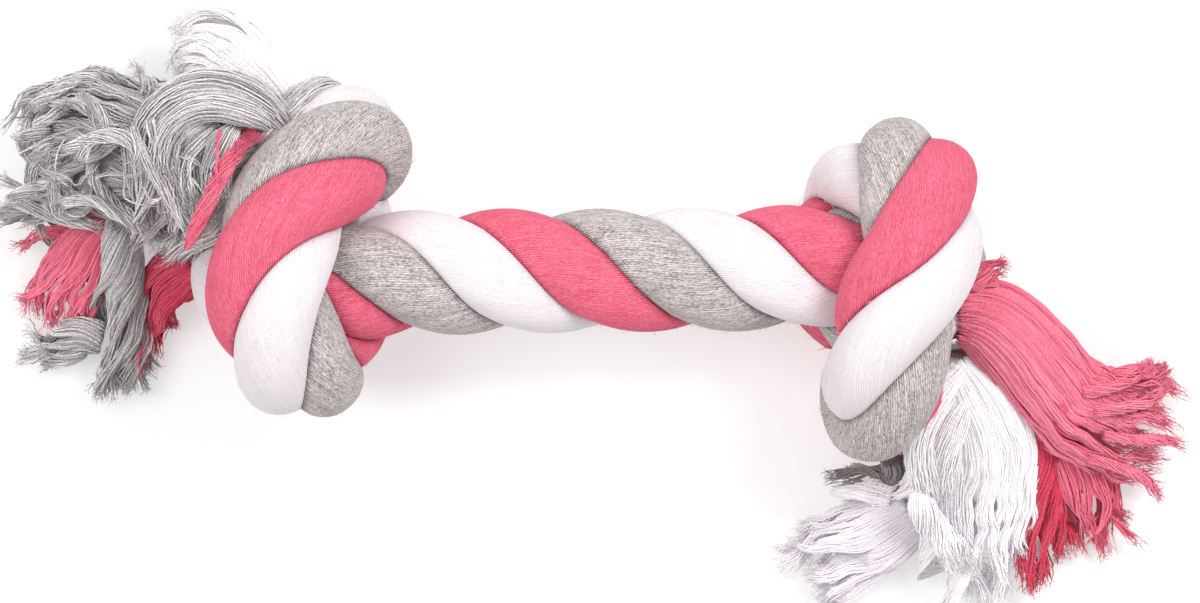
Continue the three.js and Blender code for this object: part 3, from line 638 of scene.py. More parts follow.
def cotton_group():
    """Colour and height of cotton fibre: short flecks that lie along the yarn, and soft clouds."""
    tree = bpy.data.node_groups.new("cotton fibre", "ShaderNodeTree")
    calc = partial(maths, tree)
    for name, kind in (
        ("Along", "NodeSocketFloat"), ("Across", "NodeSocketFloat"), ("Seed", "NodeSocketFloat"),
        ("Light", "NodeSocketColor"), ("Dark", "NodeSocketColor"), ("Fleck", "NodeSocketColor"),
        ("Contrast", "NodeSocketFloat"), ("Fleck Amount", "NodeSocketFloat"),
    ):
        tree.interface.new_socket(name, in_out="INPUT", socket_type=kind)
    tree.interface.new_socket("Colour", in_out="OUTPUT", socket_type="NodeSocketColor")
    tree.interface.new_socket("Height", in_out="OUTPUT", socket_type="NodeSocketFloat")
    given = tree.nodes.new("NodeGroupInput").outputs
    result = tree.nodes.new("NodeGroupOutput")

    def noise(along_scale, across_scale, detail):
        vector = add_node(tree, "ShaderNodeCombineXYZ", (), {
            "X": calc("MULTIPLY", given["Along"], along_scale),
            "Y": calc("MULTIPLY", given["Across"], across_scale),
            "Z": given["Seed"],
        })
        texture = add_node(tree, "ShaderNodeTexNoise", (), {
            "Vector": vector.outputs[0], "Scale": 1.0, "Detail": detail, "Roughness": NOISE_ROUGHNESS,
        })
        return texture.outputs["Fac"]

    fibres = noise(*FIBRE_NOISE)
    streaks = noise(*STREAK_NOISE)
    clouds = noise(*CLOUD_NOISE)
    specks = noise(*SPECK_NOISE)
    tone = calc("ADD", calc("MULTIPLY", fibres, FIBRE_WEIGHT), calc("MULTIPLY", clouds, CLOUD_WEIGHT))
    tone = calc("ADD", tone, calc("MULTIPLY", streaks, STREAK_WEIGHT))
    tone = calc("SUBTRACT", tone, TONE_MIDDLE)
    tone = calc("MULTIPLY", tone, given["Contrast"])
    tone = calc("ADD", tone, 0.5, clamp=True)
    colour = mixed(tree, tone, given["Dark"], given["Light"])
    speck = calc("MULTIPLY", calc("SUBTRACT", specks, SPECK_START), SPECK_STEEPNESS, clamp=True)
    speck = calc("MULTIPLY", speck, given["Fleck Amount"])
    colour = mixed(tree, speck, colour, given["Fleck"])
    tree.links.new(colour, result.inputs["Colour"])
    tree.links.new(fibres, result.inputs["Height"])
    return tree


def cotton_material(name, group, packed, light, dark, fleck, shade_colour, contrast, fleck_amount, groove, sheen,
                    painted_glow):
    """Cotton of one colour, either packed in a strand or in the middle of a lock, or as loose yarn, with
    painted shade towards its shade colour and a painted glow.
    """
    material = bpy.data.materials.new(name)
    material.use_nodes = True
    tree = material.node_tree
    calc = partial(maths, tree)
    shader = tree.nodes["Principled BSDF"]
    shader.inputs["Roughness"].default_value = ROUGHNESS
    shader.inputs["Diffuse Roughness"].default_value = 0.0 if packed else 1.0
    shader.inputs["Specular IOR Level"].default_value = SHINE
    shader.inputs["Sheen Weight"].default_value = sheen
    shader.inputs["Sheen Tint"].default_value = light
    shader.inputs["Sheen Roughness"].default_value = SHEEN_ROUGHNESS
    where = add_node(tree, "ShaderNodeUVMap", {"uv_map": "UVMap"})
    parts = add_node(tree, "ShaderNodeSeparateXYZ", (), {"Vector": where.outputs[0]})
    along = calc("MULTIPLY", parts.outputs["X"], MILLIMETRES)
    if packed:
        across = calc("MULTIPLY", parts.outputs["Y"], float(YARNS_ROUND_STRAND))
        number = calc("FLOOR", across)
        seed = calc("MULTIPLY", number, SEED_STEP)
        spread = PACKED_SPREAD
    else:
        across = calc("MULTIPLY", parts.outputs["Y"], float(YARN_SIDES))
        number = add_node(tree, "ShaderNodeAttribute", {"attribute_name": "yarn"}).outputs["Fac"]
        seed = number
        spread = groove * LOOSE_SPREAD
    chance = add_node(tree, "ShaderNodeTexWhiteNoise", {"noise_dimensions": "1D"}, {"W": number})
    shade = calc("MULTIPLY", chance.outputs["Value"], spread)
    shade = calc("ADD", shade, 1 - spread * DARKER_SHARE)
    cotton = add_node(tree, "ShaderNodeGroup", {"node_tree": group}, {
        "Along": along, "Across": across, "Seed": seed,
        "Light": light, "Dark": dark, "Fleck": fleck,
        "Contrast": contrast, "Fleck Amount": fleck_amount,
    })
    height = calc("MULTIPLY", cotton.outputs["Height"], FIBRE_HEIGHT)
    # How much painted shade each place takes, near where strands meet, in yarns inside a lock and in locks
    # that lie in shade, with a darker tone by chance in some loose yarns
    near = add_node(tree, "ShaderNodeAttribute", {"attribute_name": "groove"}).outputs["Fac"]
    if packed:
        # Painted shade in the grooves between the yarns of a strand, which are bumped too, darker where
        # strands meet, and more painted shade where they touch
        within = calc("FRACT", across)
        edge = calc("ABSOLUTE", calc("SUBTRACT", calc("MULTIPLY", within, 2.0), 1.0))
        edge = calc("POWER", edge, EDGE_SHARPNESS)
        depth = calc("MULTIPLY", calc("ADD", calc("MULTIPLY", near, 2.0), 1.0), groove)
        shade = calc("MULTIPLY", shade, calc("SUBTRACT", 1.0, calc("MULTIPLY", edge, depth)))
        height = calc("SUBTRACT", height, calc("MULTIPLY", edge, EDGE_HEIGHT))
        touching = calc("MULTIPLY", calc("POWER", near, TOUCHING_SHARPNESS), TOUCHING_SHADE)
        near = calc("ADD", calc("MULTIPLY", near, TOUCHING_SHADE), touching)
    else:
        # Twisted plies of a loose yarn: a bump, with painted light on its crests and painted shade in its
        # hollows
        ply = calc("MULTIPLY", along, PLY_TWIST)
        ply = calc("ADD", ply, calc("MULTIPLY", parts.outputs["Y"], TWO_TURNS))
        ply = calc("SINE", ply)
        height = calc("ADD", height, calc("MULTIPLY", ply, PLY_HEIGHT))
        shade = calc("ADD", shade, calc("MULTIPLY", ply, PLY_SHADE * groove), clamp=True)
    grey = add_node(tree, "ShaderNodeCombineColor", (), {"Red": shade, "Green": shade, "Blue": shade})
    colour = mixed(tree, 1.0, cotton.outputs["Colour"], grey.outputs[0], "MULTIPLY")
    # Painted shade: the colour is multiplied towards the shade colour
    colour = mixed(tree, near, colour, shade_colour, "MULTIPLY")
    tree.links.new(colour, shader.inputs["Base Color"])
    # Painted glow: the cotton gives off light in a share of its own colour, which lifts its shade
    tree.links.new(colour, shader.inputs["Emission Color"])
    shader.inputs["Emission Strength"].default_value = painted_glow
    bump = add_node(tree, "ShaderNodeBump", (), {
        "Strength": BUMP_STRENGTH, "Distance": BUMP_DEPTH, "Height": height,
    })
    tree.links.new(bump.outputs["Normal"], shader.inputs["Normal"])
    return material


# Strands

RING_STEP = 0.0012
STRAND_SIDES = 112
YARN_TWIST_PITCH = 0.107
FAR_AWAY = 1.0

# How far off other strands count as neighbours, and how far along a strand its own line does
NEIGHBOUR_REACH = 2 * STRAND_DIAMETER
OWN_REACH = STRAND_DIAMETER / 4

# Where strands press on each other their skins reach a little past halfway, so that no gap shows.
# Where a strand bends on itself, its skin stays short of halfway.
SKIN_OVERLAP = 0.00005
BEND_SHARE = 0.8
PRESS_BLEND = 0.0008
# How far from where strands meet the painted shade near the grooves reaches
CONTACT_SHADE_REACH = 0.003

# A strand's skin is uneven where nothing presses on it. Each wave has radians for each metre along the
# strand and turns round it. Its ends are rounded.
UNEVENNESS = 0.00009
UNEVEN_WAVES = ((110, 2), (170, 3), (260, 1), (390, 4))
PRESS_FADE = 0.0012
END_ROUNDING = 0.0015
END_SHARE = 0.02

# Fuzz. None grows where a skin is pressed in by more than MOST_PRESSED, as a share of the strand's
# radius, or on the end rings, and only OPEN_SHARE of it where the skin isn't pressed. A fibre leans
# towards a point some rings ahead and up to some sides off.
FUZZ_FIBRES = 1200
FUZZ_RADIUS = 0.00004
FUZZ_DEPTH = 0.0001
FUZZ_STEP = 0.001
MOST_PRESSED = 0.12
LEAST_PRESSED = 0.005
OPEN_SHARE = 0.25
FIRST_RINGS = 8
LAST_RINGS = 12
RINGS_AHEAD = 4
SIDES_OFF = 2
FUZZ_LIFT = (0.05, 0.25)
FUZZ_LEAN = 0.2
FUZZ_CURL = (0.1, 0.5)


def skin_radii(own, ring_run, centres, directions, samples, sample_runs):
    """Distance from a strand's centre to its skin, and how near the skin is to a neighbour, which the
    material darkens with painted shade. Where strands or passes press on each other, the skin lies
    halfway between their centres."""
    full = STRAND_DIAMETER / 2
    radii = np.full(directions.shape[:2], full)
    room = np.full(directions.shape[:2], FAR_AWAY)
    for n, (line, run) in enumerate(zip(samples, sample_runs)):
        for i, centre in enumerate(centres):
            towards = line - centre
            squared = (towards**2).sum(axis=1)
            gap = np.abs(run - ring_run[i]) if n == own else np.full(len(run), np.inf)
            use = (squared < NEIGHBOUR_REACH**2) & (gap > OWN_REACH)
            if not use.any():
                continue
            facing = directions[i] @ towards[use].T
            halfway = squared[use] / (2 * np.maximum(facing, TINY))
            bend = gap[use] < STRAND_DIAMETER
            halfway = np.where(bend, BEND_SHARE * halfway, halfway + SKIN_OVERLAP)
            halfway[facing <= 0] = FAR_AWAY
            nearest = halfway.min(axis=1)
            room[i] = np.minimum(room[i], nearest)
            h = np.clip(0.5 + 0.5 * (radii[i] - nearest) / PRESS_BLEND, 0, 1)
            radii[i] = radii[i] * (1 - h) + nearest * h - PRESS_BLEND * h * (1 - h)
    return radii, np.clip(1 - (room - full) / CONTACT_SHADE_REACH, 0, 1)


def strand_piece(own, lines, slot, material, rng):
    """Skin and fuzz of one strand."""
    line, inward = lines[own]
    centres = evenly_spaced(line, RING_STEP)
    along, side, rise = carried_frames(centres)
    inward = evenly_spaced(line, RING_STEP, inward)
    inward = unit(inward - along * (inward * along).sum(axis=1)[:, None])
    across = np.cross(along, inward)
    run = distances(centres)
    turn = full_turn(STRAND_SIDES)
    directions = np.cos(turn)[:, None] * inward[:, None] + np.sin(turn)[:, None] * across[:, None]
    samples = [other[::2] for other, _ in lines]
    sample_runs = [distances(other)[::2] for other, _ in lines]
    radii, groove = skin_radii(own, run, centres, directions, samples, sample_runs)
    phases = rng.uniform(0, 6, len(UNEVEN_WAVES))
    unevenness = sum(
        np.sin(run[:, None] * wave + turns * turn + phase)
        for (wave, turns), phase in zip(UNEVEN_WAVES, phases)
    )
    pressed = (STRAND_DIAMETER / 2 - radii) / PRESS_FADE
    radii = radii + UNEVENNESS * unevenness * np.clip(1 - pressed, 0, 1)
    end = np.minimum(run, run[-1] - run)[:, None]
    radii = radii * np.clip(end / END_ROUNDING, END_SHARE, 1) ** 0.5
    points = centres[:, None] + directions * radii[..., None]
    points[..., 2] = np.maximum(points[..., 2], FLOOR_GAP)
    node = "strand_" + slot.split("_")[0]
    mesh = swept_mesh(node + "_skin", [centres], [1.0], STRAND_SIDES)
    move_vertices(mesh, points)
    carried = np.unwrap(np.arctan2((inward * rise).sum(axis=1), (inward * side).sum(axis=1)))
    twist = carried / (2 * math.pi) + run / YARN_TWIST_PITCH
    place = np.tile(np.arange(STRAND_SIDES), len(run))
    write_uv(mesh, np.repeat(run, STRAND_SIDES), place, STRAND_SIDES, np.repeat(twist, STRAND_SIDES))
    # How near the skin is to another strand: the material paints shade there, near the grooves
    write_values(mesh, "groove", groove)
    piece = new_piece(node + "_skin", mesh, material, node)
    fuzz = fuzz_mesh(node + "_fuzz", points, directions, radii, rng)
    new_piece(node + "_fuzz", fuzz, material, node)


def fuzz_mesh(name, points, directions, radii, rng):
    """Short fibres that lift off a strand's skin, more of them along its edges."""
    rings, sides = radii.shape
    tubes = []
    while len(tubes) < FUZZ_FIBRES:
        ring = rng.integers(FIRST_RINGS, rings - LAST_RINGS)
        side = rng.integers(sides)
        pressed = 1 - radii[ring, side] / (STRAND_DIAMETER / 2)
        if pressed > MOST_PRESSED or (pressed < LEAST_PRESSED and rng.uniform() > OPEN_SHARE):
            continue
        root = points[ring, side]
        aim = (side + rng.integers(-SIDES_OFF, SIDES_OFF + 1)) % sides
        ahead = unit(points[ring + RINGS_AHEAD, aim] - root) * rng.choice((-1, 1))
        out = directions[ring, side]
        lean = unit(ahead + out * rng.uniform(*FUZZ_LIFT) + rng.normal(0, FUZZ_LEAN, 3))
        bend = unit(lean + rng.normal(0, FIBRE_BEND, 3) - out * rng.uniform(*FUZZ_CURL))
        reach = rng.uniform(*FIBRE_REACH)
        tubes.append(fibre_path(root - out * FUZZ_DEPTH, root, lean, bend, reach, FUZZ_RADIUS))
    mesh = swept_mesh(name, tubes, [FUZZ_RADIUS] * len(tubes), YARN_SIDES)
    along = np.tile(np.repeat(range(FIBRE_POINTS), YARN_SIDES), len(tubes)) * FUZZ_STEP
    place = rng.uniform(0, YARN_SIDES, len(tubes)).repeat(FIBRE_POINTS * YARN_SIDES)
    write_uv(mesh, along, place, YARN_SIDES)
    return mesh


def make_strands(group, rng):
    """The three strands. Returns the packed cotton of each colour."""
    lines = strand_lines()
    packed = {}
    for own, slot in enumerate(PACKED):
        packed[slot] = cotton_material("packed " + slot, group, True, **PACKED[slot])
        strand_piece(own, lines, slot, packed[slot], rng)
    return packed


# Loose yarn

PATH_STEP = 0.0021
LEAST_STEPS = 14
GOLDEN_ANGLE = 2.399963
SPEEDS = (0.7, 1.3)
FLOOR_SOFTNESS = 0.0006

# Cut ends
YARN_SIZES = (0.88, 1.12)
YARN_TAPER = 0.05
FIBRES_AT_CUT = 2
FIBRE_RADIUS = 0.00007
FIBRE_DEPTH = 0.0005
FIBRE_LEAN = 0.22

# Locks with half sizes below FULL_HALF_SIZE, in metres, wander less, and those with less than
# THIN_LOCK of it have loose yarns right to their middle. Others leave a share of their section to the
# inner yarns, which is less in messy locks.
FULL_HALF_SIZE = 0.0075
THIN_LOCK = 0.4
THIN_HOLLOW = 0.02
HOLLOW = 0.84
MESSY_HOLLOW_LOSS = 0.44
FULL_MESS = 0.5

# Where along a lock its yarns start, how far before or past their clump's cut they stop, and where
# they loosen and their tips spread
YARN_STARTS = (0, 0.05)
YARN_STOPS = (-0.05, 0.02)
LOOSENING = (0.15, 0.9)
SPREADING = (0.58, 1.05)

# Clumps: how far out their middles lie, how much their yarns gather at the knot and at their ends,
# where this begins and over what share of the lock, and how much they turn and from where
CLUMP_SPREAD = 0.85
GATHER_AT_KNOT = 0.03
GATHER = 0.10
MESSY_GATHER = 0.60
GATHER_START = 0.75
MESSY_GATHER_SHIFT = 0.7
GATHER_RUN = 0.4
CLUMP_TURNS = 0.4
SPIN_START = 0.4
MESSY_SPIN_SHIFT = 0.3

# How far yarns wander in metres: whole clumps in calm and in tangled locks, and each yarn by itself.
# Ripples and crimps run almost together in neighbouring yarns, by phases across and up the lock.
CALM = 0.0010
TANGLED = 0.0032
CLUMP_CYCLES = (0.9, 1.8)
OWN_WANDER = 0.0005
OWN_CYCLES = (1.3, 2.9)
RIPPLE = 0.0005
RIPPLE_LENGTH = 0.017
RIPPLE_PHASES = (1.6, 0.9)
RIPPLE_AT_KNOT = 0.15
CRIMP = 0.00028
CRIMP_LENGTH = 0.0085
CRIMP_PHASES = (3.1, 2.3)
CRIMP_AT_KNOT = 0.1
CLUMP_PHASE = 0.9
FRIZZ = 0.00013
MESSY_FRIZZ = 2
FRIZZ_AT_KNOT = 0.4
KINK_LENGTHS = (0.012, 0.006)
UPWARD_PHASE = 1.3
TIP_SPREAD = 0.0040
MOST_TIP_SPREAD = 1.7
OWN_TIP_SHARE = 0.35

# Painted shade of a yarn, darker the further inside its lock it lies, and a darker tone for some yarns by
# chance
SHADE_BELOW = 1.1
SHADE_BY_CHANCE = 0.6

# Inner yarns of a lock, as one body: its share of the section and its end as a share of the shortest
# clump, which both are less in messy locks, and where along the lock it grows thin
CORE_STEP = 0.003
CORE_SIDES = 32
LEAST_CORE_STEPS = 12
CORE_MESS = 0.4
CORE_SHARE = 0.92
CORE_START = 0.01
CORE_END = 0.88
MESSY_CORE_LOSS = 0.13
CORE_THINNING = 0.65
CORE_THIN_FROM = 0.55
MESSY_FROM_SHIFT = 0.25
CORE_THIN_TO = 0.9
MESSY_TO_SHIFT = 0.1
CORE_END_SLOPE = 0.34

# Small bundles. Those thicker than THICK_BUNDLE rise out of their lock, where they are narrow and lie
# sunk in it by so many radii, and the others just lie on it.
THICK_BUNDLE = 0.00195
THICK_SINK = 2
THICK_NARROWING = 0.6
THICK_LIFT = 0.4
THIN_LIFT = 0.1
RISING = (0, 0.22)
WIDENING = (0, 0.25)
STRAY_STEP = 0.0018
STRAY_SPLINE_STEPS = 10
STRAY_SMOOTHING = 7
STRAY_DIP = 0.004
STRAY_CYCLES = (1.1, 2.3)
STRAY_DRIFT = 0.0002
STRAY_END_DRIFT = 0.0005
STRAY_LENGTHS = (0.85, 1.0)
STRAY_DEPTH = 0.9

# Bundles of a nest: how far out they start as shares of its area, how far they sweep round it and
# drift out or in, and the spread of their sizes and twists
NEST_STEPS = 5
NEST_STARTS = (0.15, 0.95)
NEST_SWEEPS = (1.0, 1.8)
LEAST_SWEEP_RADIUS = 0.6
NEST_DRIFTS = (-0.5, 0.5)
NEST_UNEVENNESS = 0.13
NEST_SIZES = (0.8, 1.2)
NEST_TWISTS = (0.4, 1.2)


def knot_of(name):
    return LEFT_KNOT if name.startswith("left") else RIGHT_KNOT


def waves(rng, t, count, cycles, member=slice(None)):
    """Smooth wandering of each of count yarns or clumps along t, from a few sines."""
    total = 0
    for cycle in cycles:
        phase = rng.uniform(0, 2 * math.pi, (count, 1))[member]
        speed = cycle * rng.uniform(*SPEEDS, (count, 1))[member]
        total = total + np.sin(2 * math.pi * speed * t + phase)
    return total / len(cycles)


class Lock:
    """A lock's middle line and half sizes, at shares t of its length, and how its yarns lie."""

    def __init__(self, name, yarns, clumps, twist, mess, painted_shade, cut, rows):
        self.slot = name.split("_")[1] + "_yarn"
        self.yarns = yarns
        self.clumps = clumps
        self.twist = twist
        self.mess = mess
        # How much painted shade the whole lock takes, for a lock that lies in shade
        self.painted_shade = painted_shade
        self.cut = cut
        fine = bspline(rows, SPLINE_STEPS)
        self.centre = knot_of(name) + fine[:, :3] * ROPE_DIAMETER
        self.half = fine[:, 3:5] * ROPE_DIAMETER
        along = unit(np.gradient(self.centre, axis=0))
        self.side = unit(np.cross(UP, along))
        self.rise = np.cross(along, self.side)
        self.end = along[-1]
        self.run = distances(self.centre)
        self.length = self.run[-1]

    def at(self, t):
        """Centre, half sizes and directions at shares t. Past its end the lock goes straight on."""
        def inside(values):
            columns = range(values.shape[1])
            return np.stack([np.interp(t * self.length, self.run, values[:, k]) for k in columns], -1)

        past = np.maximum(t - 1, 0)[..., None] * self.length
        centre = inside(self.centre) + past * self.end
        return centre, inside(self.half), inside(self.side), inside(self.rise)

    def points(self, t, across, up, off_side=0, off_rise=0):
        """Points at shares across and up of the half sizes, moved by offsets in metres."""
        centre, half, side, rise = self.at(t)
        a = across * half[..., 0] + off_side
        b = up * half[..., 1] + off_rise
        return centre + a[..., None] * side + b[..., None] * rise


def above_floor(points, low):
    """The points, with those below the height low lifted softly above it."""
    points[..., 2] = low + np.logaddexp(0, (points[..., 2] - low) / FLOOR_SOFTNESS) * FLOOR_SOFTNESS
    return points


def lock_paths(rng, lock):
    """Paths of a lock's yarns, and each yarn's painted shade, darker the further inside the lock it lies,
    with a darker tone for some by chance. They leave the knot side by side and draw together in clumps,
    which wander more the larger mess is and spread at their cut ends."""
    yarns, clumps, mess = lock.yarns, lock.clumps, lock.mess
    steps = max(LEAST_STEPS, int(lock.length / PATH_STEP))
    size = min(1.0, lock.half.mean() / FULL_HALF_SIZE)

    # Places of the yarns in the lock's section, and of the clumps' middles
    inner = THIN_HOLLOW
    if size > THIN_LOCK:
        inner = HOLLOW - MESSY_HOLLOW_LOSS * smooth_step(0, FULL_MESS, mess)
    reach = np.sqrt(rng.uniform(inner, 1, yarns))
    turn = GOLDEN_ANGLE * np.arange(yarns)
    spot = np.stack([reach * np.cos(turn), reach * np.sin(turn)], axis=1)
    middles = spot[rng.choice(yarns, clumps, replace=False)] * CLUMP_SPREAD
    clump = ((spot[:, None] - middles) ** 2).sum(axis=2).argmin(axis=1)
    apart = spot - middles[clump]

    # Shares of the length at which each yarn starts and stops
    start = rng.uniform(*YARN_STARTS, (yarns, 1))
    stop = rng.uniform(*lock.cut, (clumps, 1))[clump] + rng.uniform(*YARN_STOPS, (yarns, 1))
    t = start + (stop - start) * np.linspace(0, 1, steps)

    # The clumps gather and turn on themselves, and the whole lock twists
    low = GATHER_START - MESSY_GATHER_SHIFT * mess
    gather = GATHER_AT_KNOT + (GATHER + MESSY_GATHER * mess) * smooth_step(low, low + GATHER_RUN, t)
    shrink = 1 - gather
    turns = (CLUMP_TURNS + mess) * rng.uniform(*SPEEDS, (clumps, 1))[clump]
    spin = 2 * math.pi * turns * np.maximum(t - SPIN_START + MESSY_SPIN_SHIFT * mess, 0)
    a = middles[clump, :1] + shrink * (apart[:, :1] * np.cos(spin) - apart[:, 1:] * np.sin(spin))
    b = middles[clump, 1:] + shrink * (apart[:, :1] * np.sin(spin) + apart[:, 1:] * np.cos(spin))
    wind = 2 * math.pi * lock.twist * t
    a, b = a * np.cos(wind) - b * np.sin(wind), a * np.sin(wind) + b * np.cos(wind)

    # Yarns and clumps wander off to the side and up
    loosen = smooth_step(*LOOSENING, t)
    own_phase = CLUMP_PHASE * rng.uniform(0, math.pi, (clumps, 1))[clump]
    ripple = 2 * math.pi * t * lock.length / RIPPLE_LENGTH
    ripple = ripple + RIPPLE_PHASES[0] * spot[:, :1] + RIPPLE_PHASES[1] * spot[:, 1:] + own_phase
    crimp = 2 * math.pi * t * lock.length / CRIMP_LENGTH
    crimp = crimp + CRIMP_PHASES[0] * spot[:, :1] + CRIMP_PHASES[1] * spot[:, 1:] - own_phase
    own = OWN_WANDER * (RIPPLE_AT_KNOT + loosen)
    together = (CALM + (TANGLED - CALM) * mess) * loosen
    frizz = FRIZZ * (1 + MESSY_FRIZZ * mess) * (FRIZZ_AT_KNOT + loosen)
    kinks = [lock.length / length for length in KINK_LENGTHS]
    tips = TIP_SPREAD * smooth_step(*SPREADING, t) ** 2
    offsets = []
    for phase in (0.0, UPWARD_PHASE):
        moved = (
            RIPPLE * (RIPPLE_AT_KNOT + loosen) * np.sin(ripple + phase)
            + CRIMP * (CRIMP_AT_KNOT + loosen) * np.sin(crimp + 2 * phase)
            + own * waves(rng, t, yarns, OWN_CYCLES)
            + together * waves(rng, t, clumps, CLUMP_CYCLES, clump)
            + tips * np.clip(rng.normal(0, 1, clumps), -MOST_TIP_SPREAD, MOST_TIP_SPREAD)[clump][:, None]
            + OWN_TIP_SHARE * tips * rng.normal(0, 1, (yarns, 1))
        )
        offsets.append(size * moved + frizz * waves(rng, t, yarns, kinks))
    # Painted shade of yarns that lie further inside the lock, and a darker tone for some yarns by chance
    depth = SHADE_BELOW * (1 - reach) * size + SHADE_BY_CHANCE * rng.uniform(0, 1, yarns) ** 3
    return above_floor(lock.points(t, a, b, *offsets), YARN_RADIUS + FLOOR_GAP), depth


class Heights:
    """Height of the loose yarn on a grid seen from above, for what lies on top of it."""

    cell = 0.0008
    middle = (250, 160)
    most_pile = 0.009

    def __init__(self):
        self.grid = np.zeros(2 * np.array(self.middle))
        self.locks = self.grid

    def end_locks(self):
        """Keep the locks' heights. What is added from here on piles up on them by most_pile at most."""
        self.locks = self.grid.copy()

    def place(self, points):
        """Cells of the grid that the points lie in."""
        at = np.floor(points[..., :2] / self.cell).astype(int) + self.middle
        return tuple(np.clip(at, 1, np.array(self.grid.shape) - 2).reshape(-1, 2).T)

    def add(self, points):
        """Raise the points' cells, and those round them, to the points' heights."""
        x, y = self.place(points)
        for dx in (-1, 0, 1):
            for dy in (-1, 0, 1):
                np.maximum.at(self.grid, (x + dx, y + dy), points[..., 2].ravel())

    def under(self, points):
        """Heights that something at the points' places lies on."""
        place = self.place(points)
        return np.minimum(self.grid[place], self.locks[place] + self.most_pile)


def stray_paths(rng, heights, knot, yarns, size, twist, rows):
    """Yarns of a small bundle. Where its points give no height, it lies on top of the locks."""
    flat = bspline([row if len(row) == 3 else (*row, 0) for row in rows], STRAY_SPLINE_STEPS)
    line = evenly_spaced(knot + flat * ROPE_DIAMETER, STRAY_STEP)
    sink, narrow, lift = 0, 0, THIN_LIFT
    if size > THICK_BUNDLE:
        sink, narrow, lift = THICK_SINK * size, THICK_NARROWING, THICK_LIFT
    if len(rows[0]) == 2:
        rest = heights.under(line)
        rest = np.maximum.reduce([rest, np.roll(rest, 1), np.roll(rest, -1)])
        rest = np.maximum(rest, np.median(rest) - STRAY_DIP)
        rest = np.pad(rest, STRAY_SMOOTHING // 2, mode="edge")
        even = np.ones(STRAY_SMOOTHING) / STRAY_SMOOTHING
        line[:, 2] = np.convolve(rest, even, "valid") + size * lift
        line[:, 2] -= sink * (1 - smooth_step(*RISING, np.linspace(0, 1, len(line))))
    _, side, rise = carried_frames(line)
    t = np.linspace(0, 1, len(line))[None] * np.ones((yarns, 1))
    number = np.arange(yarns)[:, None]
    reach = size * np.sqrt((number + 0.5) / yarns)
    reach = reach * (1 - narrow + narrow * smooth_step(*WIDENING, t))
    turn = GOLDEN_ANGLE * number + 2 * math.pi * twist * t
    drift = STRAY_DRIFT + STRAY_END_DRIFT * t**2
    cycles = (*STRAY_CYCLES, distances(line)[-1] / KINK_LENGTHS[1])
    a = reach * np.cos(turn) + drift * waves(rng, t, yarns, cycles)
    b = reach * np.sin(turn) + drift * waves(rng, t, yarns, cycles)
    paths = above_floor(line + a[..., None] * side + b[..., None] * rise, YARN_RADIUS + FLOOR_GAP)
    return [path[:int(len(path) * rng.uniform(*STRAY_LENGTHS))] for path in paths]


def nest_rows(rng, middle, half, count):
    """Rows of short curved bundles that lie round a middle, as in a nest."""
    found = []
    for _ in range(count):
        place = rng.uniform(0, 2 * math.pi)
        out = math.sqrt(rng.uniform(*NEST_STARTS))
        sweep = rng.uniform(*NEST_SWEEPS) * rng.choice((-1, 1)) / max(out, LEAST_SWEEP_RADIUS)
        drift = rng.uniform(*NEST_DRIFTS)
        steps = np.linspace(0, 1, NEST_STEPS)
        turn = place + sweep * steps
        far = out + drift * steps + rng.normal(0, NEST_UNEVENNESS, NEST_STEPS)
        x = middle[0] + half[0] * far * np.cos(turn)
        y = middle[1] + half[1] * far * np.sin(turn)
        found.append(list(zip(x, y)))
    return found


def core_mesh(name, lock):
    """Inner yarns of a lock as one body, just under the loose ones."""
    steps = max(LEAST_CORE_STEPS, int(lock.length / CORE_STEP))
    mess = smooth_step(0, CORE_MESS, lock.mess)
    t = np.linspace(CORE_START, lock.cut[0] * (CORE_END - MESSY_CORE_LOSS * mess), steps)
    step = np.arange(steps)
    ends = np.sqrt(np.clip(np.minimum(step, step[::-1] * CORE_END_SLOPE), END_SHARE, 1))
    turn = full_turn(CORE_SIDES)
    thin_from = CORE_THIN_FROM - MESSY_FROM_SHIFT * mess
    thin_to = CORE_THIN_TO - MESSY_TO_SHIFT * mess
    thin = 1 - CORE_THINNING * smooth_step(thin_from, thin_to, t)
    share = ((CORE_SHARE - MESSY_CORE_LOSS * mess) * ends * thin)[:, None]
    points = lock.points(t[:, None] + 0 * turn, share * np.cos(turn), share * np.sin(turn))
    mesh = swept_mesh(name, [lock.at(t)[0]], [1.0], CORE_SIDES)
    move_vertices(mesh, above_floor(points, 2 * FLOOR_GAP))
    place = np.tile(np.arange(CORE_SIDES), steps)
    write_uv(mesh, np.repeat(t * lock.length, CORE_SIDES), place, CORE_SIDES)
    # The lock's painted shade, which the inner body takes too
    write_values(mesh, "groove", np.full(len(mesh.vertices), lock.painted_shade))
    return mesh


